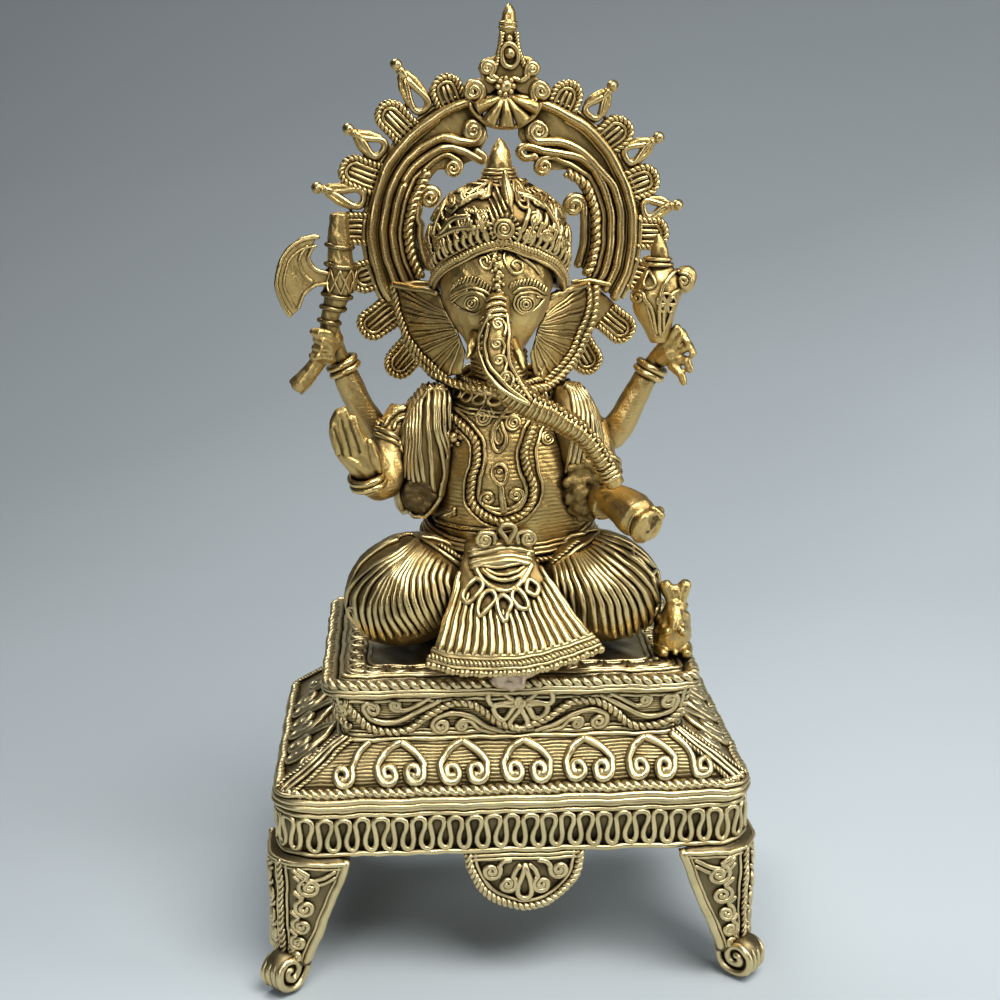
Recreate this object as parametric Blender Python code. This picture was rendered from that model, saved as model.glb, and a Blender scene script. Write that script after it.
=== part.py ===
"""Lost-wax brass Ganesha seated on a stepped four-legged throne.

Front faces -Y, +Z is up, and the origin is on the floor under the middle of the throne.
Shapes are written in millimetres and stored in metres. The figure's own right is at -X.

The real casting is built up from wax pieces and threads pressed together. Each of them is one object
here. A piece gives way to the pieces made before it, so neighbours meet with a hairline GAP.
"""

import math

import bmesh
import bpy
from mathutils import Matrix, Vector
from mathutils.bvhtree import BVHTree

MM = 0.001
GAP = 0.3
WELD = 0.002
SHARP_DEGREES = 40
LARGEST_CORNER_PUSH = 1.6

# Throne, from the floor up.
BASE_W, BASE_D = 149.0, 102.0
BASE_CORNER, TIER_CORNER = 12.0, 7.2
WALL = 3.0
APRON_Z, APRON_H = 45.4, 16.6
RIM_H = 3.7
RIM_PROUD, TIER_INSET = 0.8, 1.0
NECK_INSET, NECK_FLARE_X, NECK_FLARE_Y = 0.5, 3.0, 2.2
TIER_TOP_Z = 79.7
TIER_TOP_W, TIER_TOP_D = 107.0, 78.0
NECK_TOP_Z = 94.5
SEAT_W, SEAT_D = 118.0, 88.0
SEAT_CORNER = 6.0
SEAT_TOP_Z = 99.2
SEAT_ROPE_R = 2.6

# Legs.
LEG_PLATE = 3.0
LEG_OUTSET = 2.6
LEG_SPREAD = ((45.1, 21.0), (38.0, 18.5), (28.0, 14.5), (18.0, 10.5), (11.0, 8.0))
FOOT_R, FOOT_W, FOOT_SIDES = 8.0, 9.0, 16
FOOT_X, FOOT_Y = 72.6, 50.6

# Halo, a flat ring standing behind the head.
HALO_X, HALO_Z = 0.7, 229.5
HALO_Y = 15.0
HALO_R = 41.9
HALO_WIRE_R = 1.5
PLATE_IN, PLATE_OUT = 28.4, 45.0
PLATE_START, PLATE_END = 9.0, 115.6
TAIL_IN, TAIL_OUT, TAIL_END = 31.0, 37.0, 156.0
PLATE_Y0, PLATE_Y1 = 16.8, 18.4
PEAK_IN, PEAK_START, PEAK_END, PEAK_SLANT = 24.6, 21.0, 46.0, 9.0
RAY_W = 10.4
RAYS_RIGHT = ((21.7, 52.6), (44.0, 55.4), (67.4, 55.8), (88.0, 54.0), (107.0, 52.0), (124.6, 56.4),
              (141.4, 59.0))
RAYS_LEFT = ((25.7, 52.1), (49.1, 53.3), (70.6, 53.3), (91.0, 54.0), (108.0, 53.0), (129.0, 54.5),
             (146.4, 55.1))
EYELETS_RIGHT = ((32.6, 61.7), (56.2, 58.5), (76.4, 60.5))
EYELETS_LEFT = ((37.4, 57.3), (59.4, 57.6), (81.4, 56.9))
BALL_R = 1.9
TOP_Z = 300.0


# ---------------------------------------------------------------- scene and materials

def clear_scene():
    for old in list(bpy.data.objects):
        bpy.data.objects.remove(old, do_unlink=True)


def metal(name, colour, roughness):
    made = bpy.data.materials.new(name)
    made.use_nodes = True
    shader = made.node_tree.nodes["Principled BSDF"]
    shader.inputs["Base Color"].default_value = (*colour, 1.0)
    shader.inputs["Metallic"].default_value = 1.0
    shader.inputs["Roughness"].default_value = roughness
    made.diffuse_color = (*colour, 1.0)
    return made


# ---------------------------------------------------------------- building blocks

def finished(name, mesh_data, material):
    """Links a bmesh as a smooth-shaded object. Its flat many-sided caps stay whole."""
    bmesh.ops.triangulate(mesh_data, faces=[face for face in mesh_data.faces if len(face.verts) == 4])
    bmesh.ops.recalc_face_normals(mesh_data, faces=mesh_data.faces)
    mesh = bpy.data.meshes.new(name)
    mesh_data.to_mesh(mesh)
    mesh_data.free()
    mesh.materials.append(material)
    mesh.shade_smooth()
    mesh.set_sharp_from_angle(angle=math.radians(SHARP_DEGREES))
    made = bpy.data.objects.new(name, mesh)
    bpy.context.scene.collection.objects.link(made)
    return made


def skin(name, loops, material, hollow=False):
    """Faces between equal point loops. A hollow one joins its last loop to its first, round a ring's wall."""
    shape = bmesh.new()
    rows = [[shape.verts.new(point) for point in loop] for loop in loops]
    count = len(rows[0])
    pairs = list(zip(rows, rows[1:]))
    if hollow:
        pairs.append((rows[-1], rows[0]))
    else:
        shape.faces.new(rows[0][::-1])
        shape.faces.new(rows[-1])
    for low, high in pairs:
        for i in range(count):
            j = (i + 1) % count
            shape.faces.new((low[i], low[j], high[j], high[i]))
    return finished(name, shape, material)


def ellipse(centre, rx, ry, sides=20):
    x, y, z = centre
    turn = 2 * math.pi / sides
    return [Vector((x + rx * math.cos(i * turn), y + ry * math.sin(i * turn), z)) for i in range(sides)]


def stack(name, levels, material, sides=20):
    """A body of elliptical slices: each level is (x, y, z, half width, half depth)."""
    return skin(name, [ellipse((x, y, z), rx, ry, sides) for x, y, z, rx, ry in levels], material)


def rounded_loop(half_x, half_y, radius, z, steps=4):
    """A rounded rectangle, anticlockwise from its +X +Y corner."""
    points = []
    for quarter, (sx, sy) in enumerate(((1, 1), (-1, 1), (-1, -1), (1, -1))):
        for step in range(steps + 1):
            a = math.radians(90 * (quarter + step / steps))
            x = sx * (half_x - radius) + radius * math.cos(a)
            y = sy * (half_y - radius) + radius * math.sin(a)
            points.append(Vector((x, y, z)))
    return points


def wall_ring(name, low, high, wall, radius, material):
    """A hollow storey of the throne: low and high are (half width, half depth, z) outside."""
    loops = []
    for (half_x, half_y, z), inset in ((low, 0.0), (high, 0.0), (high, wall), (low, wall)):
        loops.append(rounded_loop(half_x - inset, half_y - inset, radius - inset * 0.8, z))
    return skin(name, loops, material, hollow=True)


def plate(name, outline, y_front, y_back, material):
    """A flat sheet cut to an outline of (x, z) points and standing across the view from the front."""
    front = [Vector((x, y_front, z)) for x, z in outline]
    back = [Vector((x, y_back, z)) for x, z in outline]
    return skin(name, [front, back], material)


def sheet(name, grid, back, material):
    """A bent sheet: rows of front points, and the same points moved by back."""
    shape = bmesh.new()
    front = [[shape.verts.new(point) for point in row] for row in grid]
    rear = [[shape.verts.new(point + back) for point in row] for row in grid]
    rows, columns = len(grid), len(grid[0])
    for layer in (front, rear):
        for i in range(rows - 1):
            for j in range(columns - 1):
                shape.faces.new((layer[i][j], layer[i][j + 1], layer[i + 1][j + 1], layer[i + 1][j]))
    for i in range(rows - 1):
        for j in (0, columns - 1):
            shape.faces.new((front[i][j], front[i + 1][j], rear[i + 1][j], rear[i][j]))
    for j in range(columns - 1):
        for i in (0, rows - 1):
            shape.faces.new((front[i][j], front[i][j + 1], rear[i][j + 1], rear[i][j]))
    return finished(name, shape, material)


def ball(name, centre, radii, material, rings=10, sides=16, turn=None):
    shape = bmesh.new()
    bmesh.ops.create_uvsphere(shape, u_segments=sides, v_segments=rings, radius=1.0)
    place = Matrix.Translation(Vector(centre)) @ (turn or Matrix.Identity(4))
    shape.transform(place @ Matrix.Diagonal((*radii, 1.0)))
    return finished(name, shape, material)


def smoothed(stops, per=4, closed=False):
    """Catmull-Rom through the stops, which may hold a radius as a fourth number."""
    rows = [Vector(stop) for stop in stops]
    count = len(rows)
    spans = count if closed else count - 1

    def at(index):
        return rows[index % count] if closed else rows[min(max(index, 0), count - 1)]

    points = []
    for span in range(spans):
        p0, p1, p2, p3 = (at(span + k) for k in (-1, 0, 1, 2))
        for step in range(per):
            t = step / per
            points.append(
                0.5 * (2 * p1 + (p2 - p0) * t + (2 * p0 - 5 * p1 + 4 * p2 - p3) * t * t
                       + (3 * p1 - p0 - 3 * p2 + p3) * t ** 3)
            )
    if not closed:
        points.append(rows[-1])
    return points


def tube(name, points, material, radius=None, closed=False, resolution=2):
    """A round bar along the points: a bevelled curve, each point (x, y, z) or (x, y, z, radius)."""
    curve = bpy.data.curves.new(name, "CURVE")
    curve.dimensions = "3D"
    curve.bevel_depth = 1.0
    curve.bevel_resolution = resolution
    curve.use_fill_caps = True
    spline = curve.splines.new("POLY")
    spline.points.add(len(points) - 1)
    for place, point in zip(spline.points, points):
        place.co = (point[0], point[1], point[2], 1.0)
        place.radius = radius or point[3]
    spline.use_cyclic_u = closed
    guide = bpy.data.objects.new(name + "_guide", curve)
    bpy.context.scene.collection.objects.link(guide)
    shape = bmesh.new()
    shape.from_mesh(guide.evaluated_get(bpy.context.evaluated_depsgraph_get()).to_mesh())
    bpy.data.objects.remove(guide)
    bmesh.ops.remove_doubles(shape, verts=shape.verts, dist=0.001)
    return finished(name, shape, material)


def smooth_tube(name, stops, material, per=3, **options):
    return tube(name, smoothed(stops, per, options.get("closed", False)), material, **options)


# ---------------------------------------------------------------- joining and trimming

def boolean(piece, other, operation):
    step = piece.modifiers.new(operation.lower(), "BOOLEAN")
    step.operation = operation
    step.object = other
    step.solver = "EXACT"
    step.use_self = operation == "DIFFERENCE"
    graph = bpy.context.evaluated_depsgraph_get()
    result = bpy.data.meshes.new_from_object(piece.evaluated_get(graph))
    piece.modifiers.clear()
    piece.data = result
    shape = bmesh.new()
    shape.from_mesh(result)
    bmesh.ops.remove_doubles(shape, verts=shape.verts, dist=WELD)
    bmesh.ops.dissolve_degenerate(shape, edges=shape.edges, dist=WELD)
    bmesh.ops.delete(shape, geom=[edge for edge in shape.edges if edge.is_wire], context="EDGES")
    shape.to_mesh(result)
    shape.free()


def joined(first, *others):
    for other in others:
        boolean(first, other, "UNION")
        bpy.data.objects.remove(other)
    return first


def grown(piece, by):
    """A copy with its surface pushed out evenly."""
    shape = bmesh.new()
    shape.from_mesh(piece.data)
    shape.normal_update()
    moves = [(v, v.normal * by * min(v.calc_shell_factor(), LARGEST_CORNER_PUSH)) for v in shape.verts]
    for vert, move in moves:
        vert.co += move
    mesh = bpy.data.meshes.new("cutter")
    shape.to_mesh(mesh)
    shape.free()
    made = bpy.data.objects.new("cutter", mesh)
    made.hide_render = True
    made.display_type = "WIRE"
    bpy.context.scene.collection.objects.link(made)
    return made


def surface_tree(piece):
    mesh = piece.data
    return BVHTree.FromPolygons([v.co for v in mesh.vertices], [tuple(p.vertices) for p in mesh.polygons])


def keep_largest_body(piece):
    """Drops the crumbs that a cut leaves beside the main body."""
    shape = bmesh.new()
    shape.from_mesh(piece.data)
    unseen = set(shape.verts)
    bodies = []
    while unseen:
        front = [unseen.pop()]
        body = set(front)
        while front:
            for edge in front.pop().link_edges:
                for vert in edge.verts:
                    if vert in unseen:
                        unseen.discard(vert)
                        body.add(vert)
                        front.append(vert)
        bodies.append(body)
    main = max(bodies, key=lambda body: sum(f.calc_area() for f in {f for v in body for f in v.link_faces}))
    spare = [v for body in bodies if body is not main for v in body]
    bmesh.ops.delete(shape, geom=spare, context="VERTS")
    shape.to_mesh(piece.data)
    shape.free()


def fit_together(pieces):
    """Cuts each piece back to GAP from the ones before it."""
    cutters = [grown(piece, GAP) for piece in pieces]
    for index, piece in enumerate(pieces):
        for cutter in cutters[:index]:
            if surface_tree(piece).overlap(surface_tree(cutter)):
                boolean(piece, cutter, "DIFFERENCE")
                keep_largest_body(piece)
    for cutter in cutters:
        bpy.data.objects.remove(cutter)
    for piece in pieces:
        piece.data.transform(Matrix.Scale(MM, 4))


# ---------------------------------------------------------------- the throne

def throne(brass):
    half_w, half_d = BASE_W / 2, BASE_D / 2
    apron_top = APRON_Z + APRON_H
    rim_low, rim_top = apron_top + GAP, apron_top + RIM_H
    tier_low = rim_top + GAP
    neck_low = TIER_TOP_Z + GAP
    rim_w, rim_d = half_w + RIM_PROUD, half_d + RIM_PROUD
    neck_w, neck_d = TIER_TOP_W / 2 - NECK_INSET, TIER_TOP_D / 2 - NECK_INSET
    inner = 2 * SEAT_ROPE_R + GAP
    slab_x, slab_y = SEAT_W / 2 - inner, SEAT_D / 2 - inner
    pieces = [
        wall_ring("apron_band", (half_w, half_d, APRON_Z), (half_w, half_d, apron_top), WALL,
                  BASE_CORNER, brass),
        wall_ring("rim_moulding", (rim_w, rim_d, rim_low), (rim_w, rim_d, rim_top), WALL * 2,
                  BASE_CORNER, brass),
        wall_ring("lower_tier", (half_w - TIER_INSET, half_d - TIER_INSET, tier_low),
                  (TIER_TOP_W / 2, TIER_TOP_D / 2, TIER_TOP_Z), WALL, TIER_CORNER, brass),
        wall_ring("upper_neck", (neck_w, neck_d, neck_low),
                  (neck_w + NECK_FLARE_X, neck_d + NECK_FLARE_Y, NECK_TOP_Z), WALL, SEAT_CORNER, brass),
        skin("seat_slab", [rounded_loop(slab_x, slab_y, SEAT_CORNER / 2, z)
                           for z in (NECK_TOP_Z + GAP, SEAT_TOP_Z)], brass),
        tube("seat_rope_border",
             rounded_loop(slab_x + GAP + SEAT_ROPE_R, slab_y + GAP + SEAT_ROPE_R, SEAT_CORNER,
                          NECK_TOP_Z + GAP + SEAT_ROPE_R),
             brass, radius=SEAT_ROPE_R, closed=True),
    ]
    return pieces


def corner_point(s, inset, z, sx, sy):
    """A point near the throne's corner, s along it from the corner's middle, inset from its outside."""
    radius = BASE_CORNER
    arc = radius * math.pi / 4
    turn = max(-arc, min(arc, s)) / radius + math.pi / 4
    past = s - max(-arc, min(arc, s))
    x = BASE_W / 2 - radius + (radius - inset) * math.cos(turn)
    y = BASE_D / 2 - radius + (radius - inset) * math.sin(turn)
    if past > 0:
        x -= past
    else:
        y += past
    return Vector((sx * x, sy * y, z))


def leg(name, sx, sy, brass):
    """A bent bracket that narrows down the corner, ending in a rolled foot that lies across the diagonal."""
    samples = 9
    loops = []
    for z, spread in LEG_SPREAD:
        along = [spread * (2 * i / (samples - 1) - 1) for i in range(samples)]
        outside = [corner_point(s, -LEG_OUTSET, z, sx, sy) for s in along]
        inside = [corner_point(s, LEG_PLATE - LEG_OUTSET, z, sx, sy) for s in reversed(along)]
        loops.append(outside + inside)
    bracket = skin(name, loops, brass)
    flat = FOOT_R * math.cos(math.pi / FOOT_SIDES)
    axis = Vector((sx, -sy, 0)).normalized()
    out = Vector((sx, sy, 0)).normalized()
    centre = Vector((sx * FOOT_X, sy * FOOT_Y, flat))
    rims = []
    for side in (-FOOT_W / 2, FOOT_W / 2):
        turns = [2 * math.pi * (i + 0.5) / FOOT_SIDES - math.pi / 2 for i in range(FOOT_SIDES)]
        rims.append([centre + axis * side + FOOT_R * (out * math.cos(a) + Vector((0, 0, math.sin(a))))
                     for a in turns])
    return joined(bracket, skin("foot", rims, brass))


def legs(brass):
    names = {(-1, -1): "leg_front_left", (1, -1): "leg_front_right", (-1, 1): "leg_back_left",
             (1, 1): "leg_back_right"}
    return [leg(name, sx, sy, brass) for (sx, sy), name in names.items()]


def front_pendant(brass):
    centre_x, half_w, drop = 3.0, 18.6, 19.6
    top = APRON_Z - GAP
    outline = [(centre_x + half_w * math.cos(a), top - drop * math.sin(a))
               for a in (math.pi * i / 14 for i in range(15))]
    return plate("front_pendant", outline, -BASE_D / 2, -BASE_D / 2 + WALL, brass)


# ---------------------------------------------------------------- the seated body

def torso(brass):
    levels = ((0, 1, 100.0, 30, 12.5), (0.5, 0, 108.0, 31, 15), (1.5, -0.5, 120.0, 29, 15.5),
              (2.0, -1.5, 131.0, 25.5, 16.5), (2.0, -2.0, 143.0, 25, 17.3), (1.5, -2.0, 156.0, 23.5, 16.5),
              (0.5, -1.0, 168.0, 22, 13.5), (0.0, 0, 177.0, 20, 11), (-0.5, 0, 183.0, 15, 9))
    return stack("torso", levels, brass, sides=20)


def thigh(name, centre, radii, tilt, brass):
    turn = Matrix.Rotation(math.radians(tilt), 4, "Y")
    return ball(name, centre, radii, brass, rings=10, sides=16, turn=turn)


def dhoti_fan(brass):
    """The pleated apron cloth: narrow under the belt, wide and bowed at its hem."""
    grid = []
    rows, columns = 6, 9
    for row in range(rows):
        t = row / (rows - 1)
        half = 9.3 + 16.7 * t ** 1.15
        middle, height, depth = -4.2 + 4.6 * t, 137.5 - 30.5 * t, -22.5 - 22.0 * t ** 0.9
        line = []
        for column in range(columns):
            u = 2 * column / (columns - 1) - 1
            bow = 1 - u * u
            line.append(Vector((middle + half * u, depth - (2 + 3.5 * t) * bow,
                                height - 3.0 * t * bow + 2 * t * u)))
        grid.append(line)
    return sheet("dhoti_fan", grid, Vector((0, 3.0, 0.6)), brass)


def hoop(name, centre, rx, ry, lift, radius, material):
    """A closed round-section ring, raised by lift at the back and lowered by it in front."""
    x, y, z = centre
    sides = 20
    points = []
    for i in range(sides):
        a = 2 * math.pi * i / sides
        points.append((x + rx * math.cos(a), y + ry * math.sin(a), z + lift * math.sin(a)))
    return tube(name, points, material, radius=radius, closed=True, resolution=1)


def belly_garland(brass):
    """A lyre-shaped chain that hangs from the chest and rounds the belly."""
    stops = ((-13.0, -11.5, 174.6), (-8.9, -15.2, 169.5), (-8.9, -17.6, 161.6), (-11.1, -18.8, 155.5),
             (-9.9, -19.9, 149.4), (-6.5, -20.6, 144.9), (-2.3, -21.0, 143.0), (3.0, -21.0, 143.8),
             (7.2, -20.6, 147.3), (8.5, -19.8, 153.6), (5.5, -18.9, 159.7), (4.3, -17.0, 166.8))
    return smooth_tube("belly_garland", stops, brass, per=2, radius=2.3, resolution=1)


def shawl(name, side, brass, middle_x, low_z):
    """A gathered shoulder cloth, widest over the upper arm."""
    high_z = 183.5
    levels = []
    for t, rx, ry in ((0, 4.0, 5.0), (0.10, 6.2, 8.5), (0.30, 8.0, 11.5), (0.6, 8.8, 12.5),
                      (0.85, 8.4, 11.0), (1.0, 6.5, 7.5)):
        x = side * (middle_x - 4.5 * (1 - t) ** 2)
        levels.append((x, -3.5, high_z + (low_z - high_z) * t, rx, ry))
    return stack(name, levels, brass, sides=18)


def body(brass, wire):
    return [
        torso(brass),
        thigh("thigh_right", (-31.0, -14.5, 119.6), (20.5, 22.0, 16.8), -22, brass),
        thigh("thigh_left", (28.6, -14.5, 119.6), (20.6, 22.0, 17.0), 16, brass),
        dhoti_fan(brass),
        hoop("waist_belt", (1.5, -1.5, 137.5), 26.8, 17.8, 5.0, 2.2, wire),
        shawl("shawl_right", -1, brass, 26.8, 143.0),
        shawl("shawl_left", 1, brass, 23.6, 148.0),
        smooth_tube("neck", ((-1.0, -2.0, 181, 8.5), (-1.8, -4.0, 188, 7.5), (-2.2, -6.0, 195, 7.0)), brass,
                    per=2, resolution=4),
        belly_garland(wire),
    ]


# ---------------------------------------------------------------- the head

HEAD_X, HEAD_Y = -2.9, -8.5
CROWN_X, CROWN_Y = -1.9, -5.0
CROWN_RX, CROWN_RY = 20.5, 16.5
BAND_LOW_Z, BAND_RISE, CROWN_TOP_Z = 216.0, 12.5, 247.0


def head(brass):
    levels = ((190.5, 4.5, 5.0, -1), (194.0, 7.5, 7.5, -0.5), (199.0, 10.2, 10.0, 0),
              (205.0, 14.2, 12.5, 0),
              (211.0, 16.6, 14.0, 0), (217.0, 17.6, 14.5, 0.5), (223.0, 17.3, 14.2, 1),
              (229.0, 14.5, 12.0, 2),
              (233.0, 9.0, 8.0, 3))
    return stack("head", [(HEAD_X, HEAD_Y + back, z, rx, ry) for z, rx, ry, back in levels], brass,
                 sides=20)


def trunk(brass):
    stops = ((-2.9, -17.5, 214.5, 4.2), (-3.9, -24.0, 208.5, 4.6), (-4.4, -27.8, 201.0, 4.7),
             (-3.6, -30.0, 194.0, 4.6),
             (-0.2, -31.5, 187.4, 4.4), (5.8, -32.5, 182.6, 4.0), (13.3, -33.0, 179.4, 3.5),
             (19.8, -33.0, 175.2, 3.1),
             (24.5, -32.5, 170.4, 2.8), (27.6, -31.8, 165.2, 2.8), (30.4, -31.0, 160.4, 3.0),
             (32.2, -30.5, 157.2, 2.9))
    return smooth_tube("trunk", stops, brass, per=2, resolution=3)


def ear(name, inner, outer, brass):
    """A fan-shaped ear between its inner edge at the cheek and its outer edge, both from the top down."""
    grid = []
    for low, high in zip(inner, outer):
        a, b = Vector(low), Vector(high)
        middle = (a + b) / 2 + Vector((0, -1.2, 0.6))
        grid.append([a, middle, b])
    return sheet(name, grid, Vector((0, 2.0, 0)), brass)


def crown_base(angle):
    """The crown's lower edge: angle 0 is the front. It rises over the brow."""
    lift = max(0.0, math.cos(angle))
    return Vector((CROWN_X + CROWN_RX * math.sin(angle), CROWN_Y - CROWN_RY * math.cos(angle),
                   BAND_LOW_Z + BAND_RISE * lift))


def crown_dome(brass):
    sides = 20
    loops = []
    for swell, rise in ((0.94, 0.0), (1.04, 0.22), (1.05, 0.45), (0.93, 0.68), (0.68, 0.86), (0.30, 1.0)):
        loop = []
        for i in range(sides):
            low = crown_base(2 * math.pi * i / sides)
            x = CROWN_X + (low.x - CROWN_X) * swell
            y = CROWN_Y + (low.y - CROWN_Y) * swell
            loop.append(Vector((x, y, low.z + (CROWN_TOP_Z - low.z) * rise)))
        loops.append(loop)
    return skin("crown_dome", loops, brass)


def crown_finial(brass):
    profile = ((246.0, 4.6), (247.6, 5.0), (249.4, 5.0), (250.4, 3.9), (252.5, 3.9), (256.0, 2.9),
               (258.4, 1.4), (259.7, 0.4))
    return stack("crown_finial", [(-1.5, -4.5, z, r, r) for z, r in profile], brass, sides=14)


def head_pieces(brass, wire):
    right_inner = ((-21.0, -6.5, 213.6), (-17.6, -9.0, 208.5), (-15.2, -9.5, 201.5), (-12.4, -9.0, 194.5),
                   (-13.6, -7.0, 187.3))
    right_outer = ((-34.8, 6.0, 214.8), (-33.6, 5.8, 207.0), (-30.8, 4.6, 199.0), (-26.2, 1.8, 192.0),
                   (-18.5, -4.0, 186.0))
    left_inner = ((14.8, -6.5, 212.4), (11.8, -9.0, 207.0), (9.6, -9.5, 201.0), (7.8, -9.0, 194.0),
                  (9.0, -7.0, 186.6))
    left_outer = ((27.2, 6.0, 214.4), (27.4, 6.0, 206.6), (24.6, 4.6, 198.8), (20.2, 1.8, 190.8),
                  (12.8, -5.0, 184.6))
    band = [crown_base(2 * math.pi * i / 22) for i in range(22)]
    band = [Vector((CROWN_X + (p.x - CROWN_X) * 0.95, CROWN_Y + (p.y - CROWN_Y) * 0.95,
                    p.z - 1.2)) for p in band]
    return [
        head(brass),
        trunk(brass),
        smooth_tube("tusk_right", ((-9.6, -17.5, 201.5, 2.0), (-10.8, -22.5, 199.3, 1.7),
                                   (-12.8, -26.5, 196.2, 0.7)),
                    brass, per=2, resolution=2),
        smooth_tube("tusk_left", ((1.4, -16.5, 200.5, 2.0), (2.6, -22.0, 196.8, 1.7),
                                  (4.4, -25.5, 192.2, 0.7)),
                    brass, per=2, resolution=2),
        tube("headband", band, wire, radius=2.4, closed=True, resolution=1),
        crown_dome(brass),
        crown_finial(brass),
        ball("crown_rosette", (-1.6, -22.6, 233.0), (3.8, 1.6, 3.8), wire, rings=6, sides=12),
        ear("ear_right", right_inner, right_outer, brass),
        ear("ear_left", left_inner, left_outer, brass),
        hoop("collar", (-0.8, -1.5, 183.4), 14.5, 11.5, 2.0, 2.6, wire),
    ]


# ---------------------------------------------------------------- arms, hands and what they hold

def bracelet(name, centre, along, radius, wire, bar=1.9):
    """A ring across a limb that runs along the given direction."""
    turn = Vector((0, 0, 1)).rotation_difference(Vector(along).normalized()).to_matrix()
    points = [Vector(centre) + turn @ Vector((radius * math.cos(a), radius * math.sin(a), 0))
              for a in (2 * math.pi * i / 12 for i in range(12))]
    return tube(name, points, wire, radius=bar, closed=True, resolution=1)


def flat_hand(brass):
    """The open blessing palm, cupped a little and leaning back."""
    levels = ((-43.9, -19.6, 158.5, 4.8, 3.4), (-45.4, -21.0, 162.8, 6.4, 3.0),
              (-47.6, -22.0, 168.0, 6.6, 2.6),
              (-49.6, -22.6, 173.2, 5.7, 2.3), (-51.0, -22.8, 177.4, 3.8, 2.0),
              (-51.0, -22.9, 180.2, 1.6, 1.5))
    return stack("front_hand_right", levels, brass, sides=14)


def axe_blade(brass):
    """A crescent with two horns, its neck towards the shaft."""
    edge = [(-57.0, 231.2), (-62.5, 230.2), (-67.3, 226.6), (-70.4, 221.2), (-71.2, 215.8),
            (-69.6, 210.2), (-66.8, 205.4)]
    inner = [(-64.2, 207.6), (-62.6, 212.0), (-58.4, 215.2), (-53.0, 215.8), (-53.0, 219.4), (-58.2, 220.6),
             (-60.4, 224.4), (-58.6, 228.6)]
    return plate("axe_blade", edge + inner, -4.3, -1.3, brass)


def lotus(brass):
    """The bulbous scroll-covered bud, with its little spire."""
    levels = ((48.6, 196.5, 2.6), (48.0, 201.0, 4.4), (47.4, 206.0, 6.6), (47.6, 211.5, 7.9),
              (48.4, 216.5, 6.6),
              (48.8, 219.6, 4.4), (48.8, 221.5, 3.0), (48.5, 226.0, 2.7), (48.2, 229.0, 1.5),
              (48.0, 230.8, 0.4))
    bud = stack("lotus_bud", [(x, -3.5, z, r, r * 0.8) for x, z, r in levels], brass, sides=16)
    scroll = ball("scroll", (56.4, -3.5, 216.4), (3.9, 2.6, 4.4), brass, rings=8, sides=12)
    return joined(bud, scroll)


def arms(brass, wire):
    pieces = [
        smooth_tube("rear_arm_right", ((-29, 5.5, 172, 5.6), (-37.0, 5.0, 165.0, 5.2),
                                       (-43.0, 4.2, 171.0, 4.7),
                                       (-47.4, 3.4, 179.5, 4.3), (-50.8, 3.0, 187.0, 4.0)), brass, per=2,
                                       resolution=3),
        smooth_tube("rear_arm_left", ((26, 5.5, 170, 5.4), (33.0, 5.0, 163.2, 5.2), (37.8, 4.2, 168.5, 4.8),
                                      (42.2, 3.4, 177.0, 4.3), (45.9, 3.0, 184.8, 4.0)), brass, per=2,
                                      resolution=3),
        smooth_tube("front_arm_right", ((-31, 0.0, 174, 6.4), (-37.0, -5.0, 165.0, 6.2),
                                        (-36.8, -11.0, 156.5, 5.8),
                                        (-40.0, -16.0, 154.6, 5.0), (-43.0, -19.0, 156.4, 4.5)), brass,
                                        per=2, resolution=3),
        smooth_tube("front_arm_left", ((27.5, 1.0, 168, 6.0), (30.6, -5.0, 158.0, 5.8),
                                       (29.6, -13.0, 149.8, 5.4),
                                       (31.0, -19.5, 147.0, 5.0)), brass, per=2, resolution=3),
        bracelet("rear_bracelet_right", (-51.0, 2.9, 189.1), (-0.42, -0.05, 0.9), 4.3, wire),
        bracelet("rear_bracelet_left", (47.2, 2.9, 186.7), (0.42, -0.05, 0.9), 4.3, wire),
        bracelet("front_bracelet_right", (-43.6, -19.8, 157.4), (-0.5, -0.6, 0.55), 4.9, wire, bar=1.2),
        flat_hand(brass),
        smooth_tube("axe_shaft", ((-51.2, -2.5, 237.6, 2.7), (-51.0, -2.5, 231.0, 3.4),
                                  (-50.6, -2.5, 224.0, 3.9),
                                  (-50.7, -2.5, 218.0, 4.4), (-52.2, -2.5, 212.0, 4.0),
                                  (-54.0, -2.5, 206.5, 2.9),
                                  (-55.4, -3.0, 200.0, 2.6), (-58.0, -3.5, 192.5, 2.7),
                                  (-62.0, -4.0, 187.0, 2.9),
                                  (-65.8, -4.4, 183.4, 3.1)), brass, per=2, resolution=2),
        axe_blade(brass),
        lotus(brass),
        smooth_tube("rear_hand_right", ((-51.4, 2.6, 190.6, 3.4), (-53.6, 1.2, 194.5, 4.4),
                                        (-55.8, -1.6, 198.0, 5.2),
                                        (-56.6, -4.6, 199.5, 4.2)), brass, per=2, resolution=3),
        smooth_tube("rear_hand_left", ((47.8, 2.6, 188.4, 3.4), (50.2, 1.0, 192.6, 4.2),
                                       (53.4, -2.0, 195.4, 4.4),
                                       (55.8, -4.6, 192.5, 3.8), (55.6, -5.6, 186.6, 2.6)), brass, per=2,
                                       resolution=3),
        smooth_tube("front_hand_left", ((31.5, -21.0, 147.6, 6.6), (35.4, -23.6, 146.8, 7.8),
                                        (40.2, -26.2, 146.2, 6.6), (44.0, -27.6, 145.8, 5.0),
                                        (46.2, -28.2, 145.6, 3.9)), brass, per=2, resolution=4),
        ball("sweet", (47.0, -28.6, 149.0), (2.3, 2.3, 2.3), brass, rings=6, sides=10),
    ]
    return pieces


# ---------------------------------------------------------------- the halo

def on_halo(angle, radius, side=1):
    """(x, z) at an angle in degrees from the top of the halo, towards the given side."""
    a = math.radians(angle)
    return HALO_X + side * radius * math.sin(a), HALO_Z + radius * math.cos(a)


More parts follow.
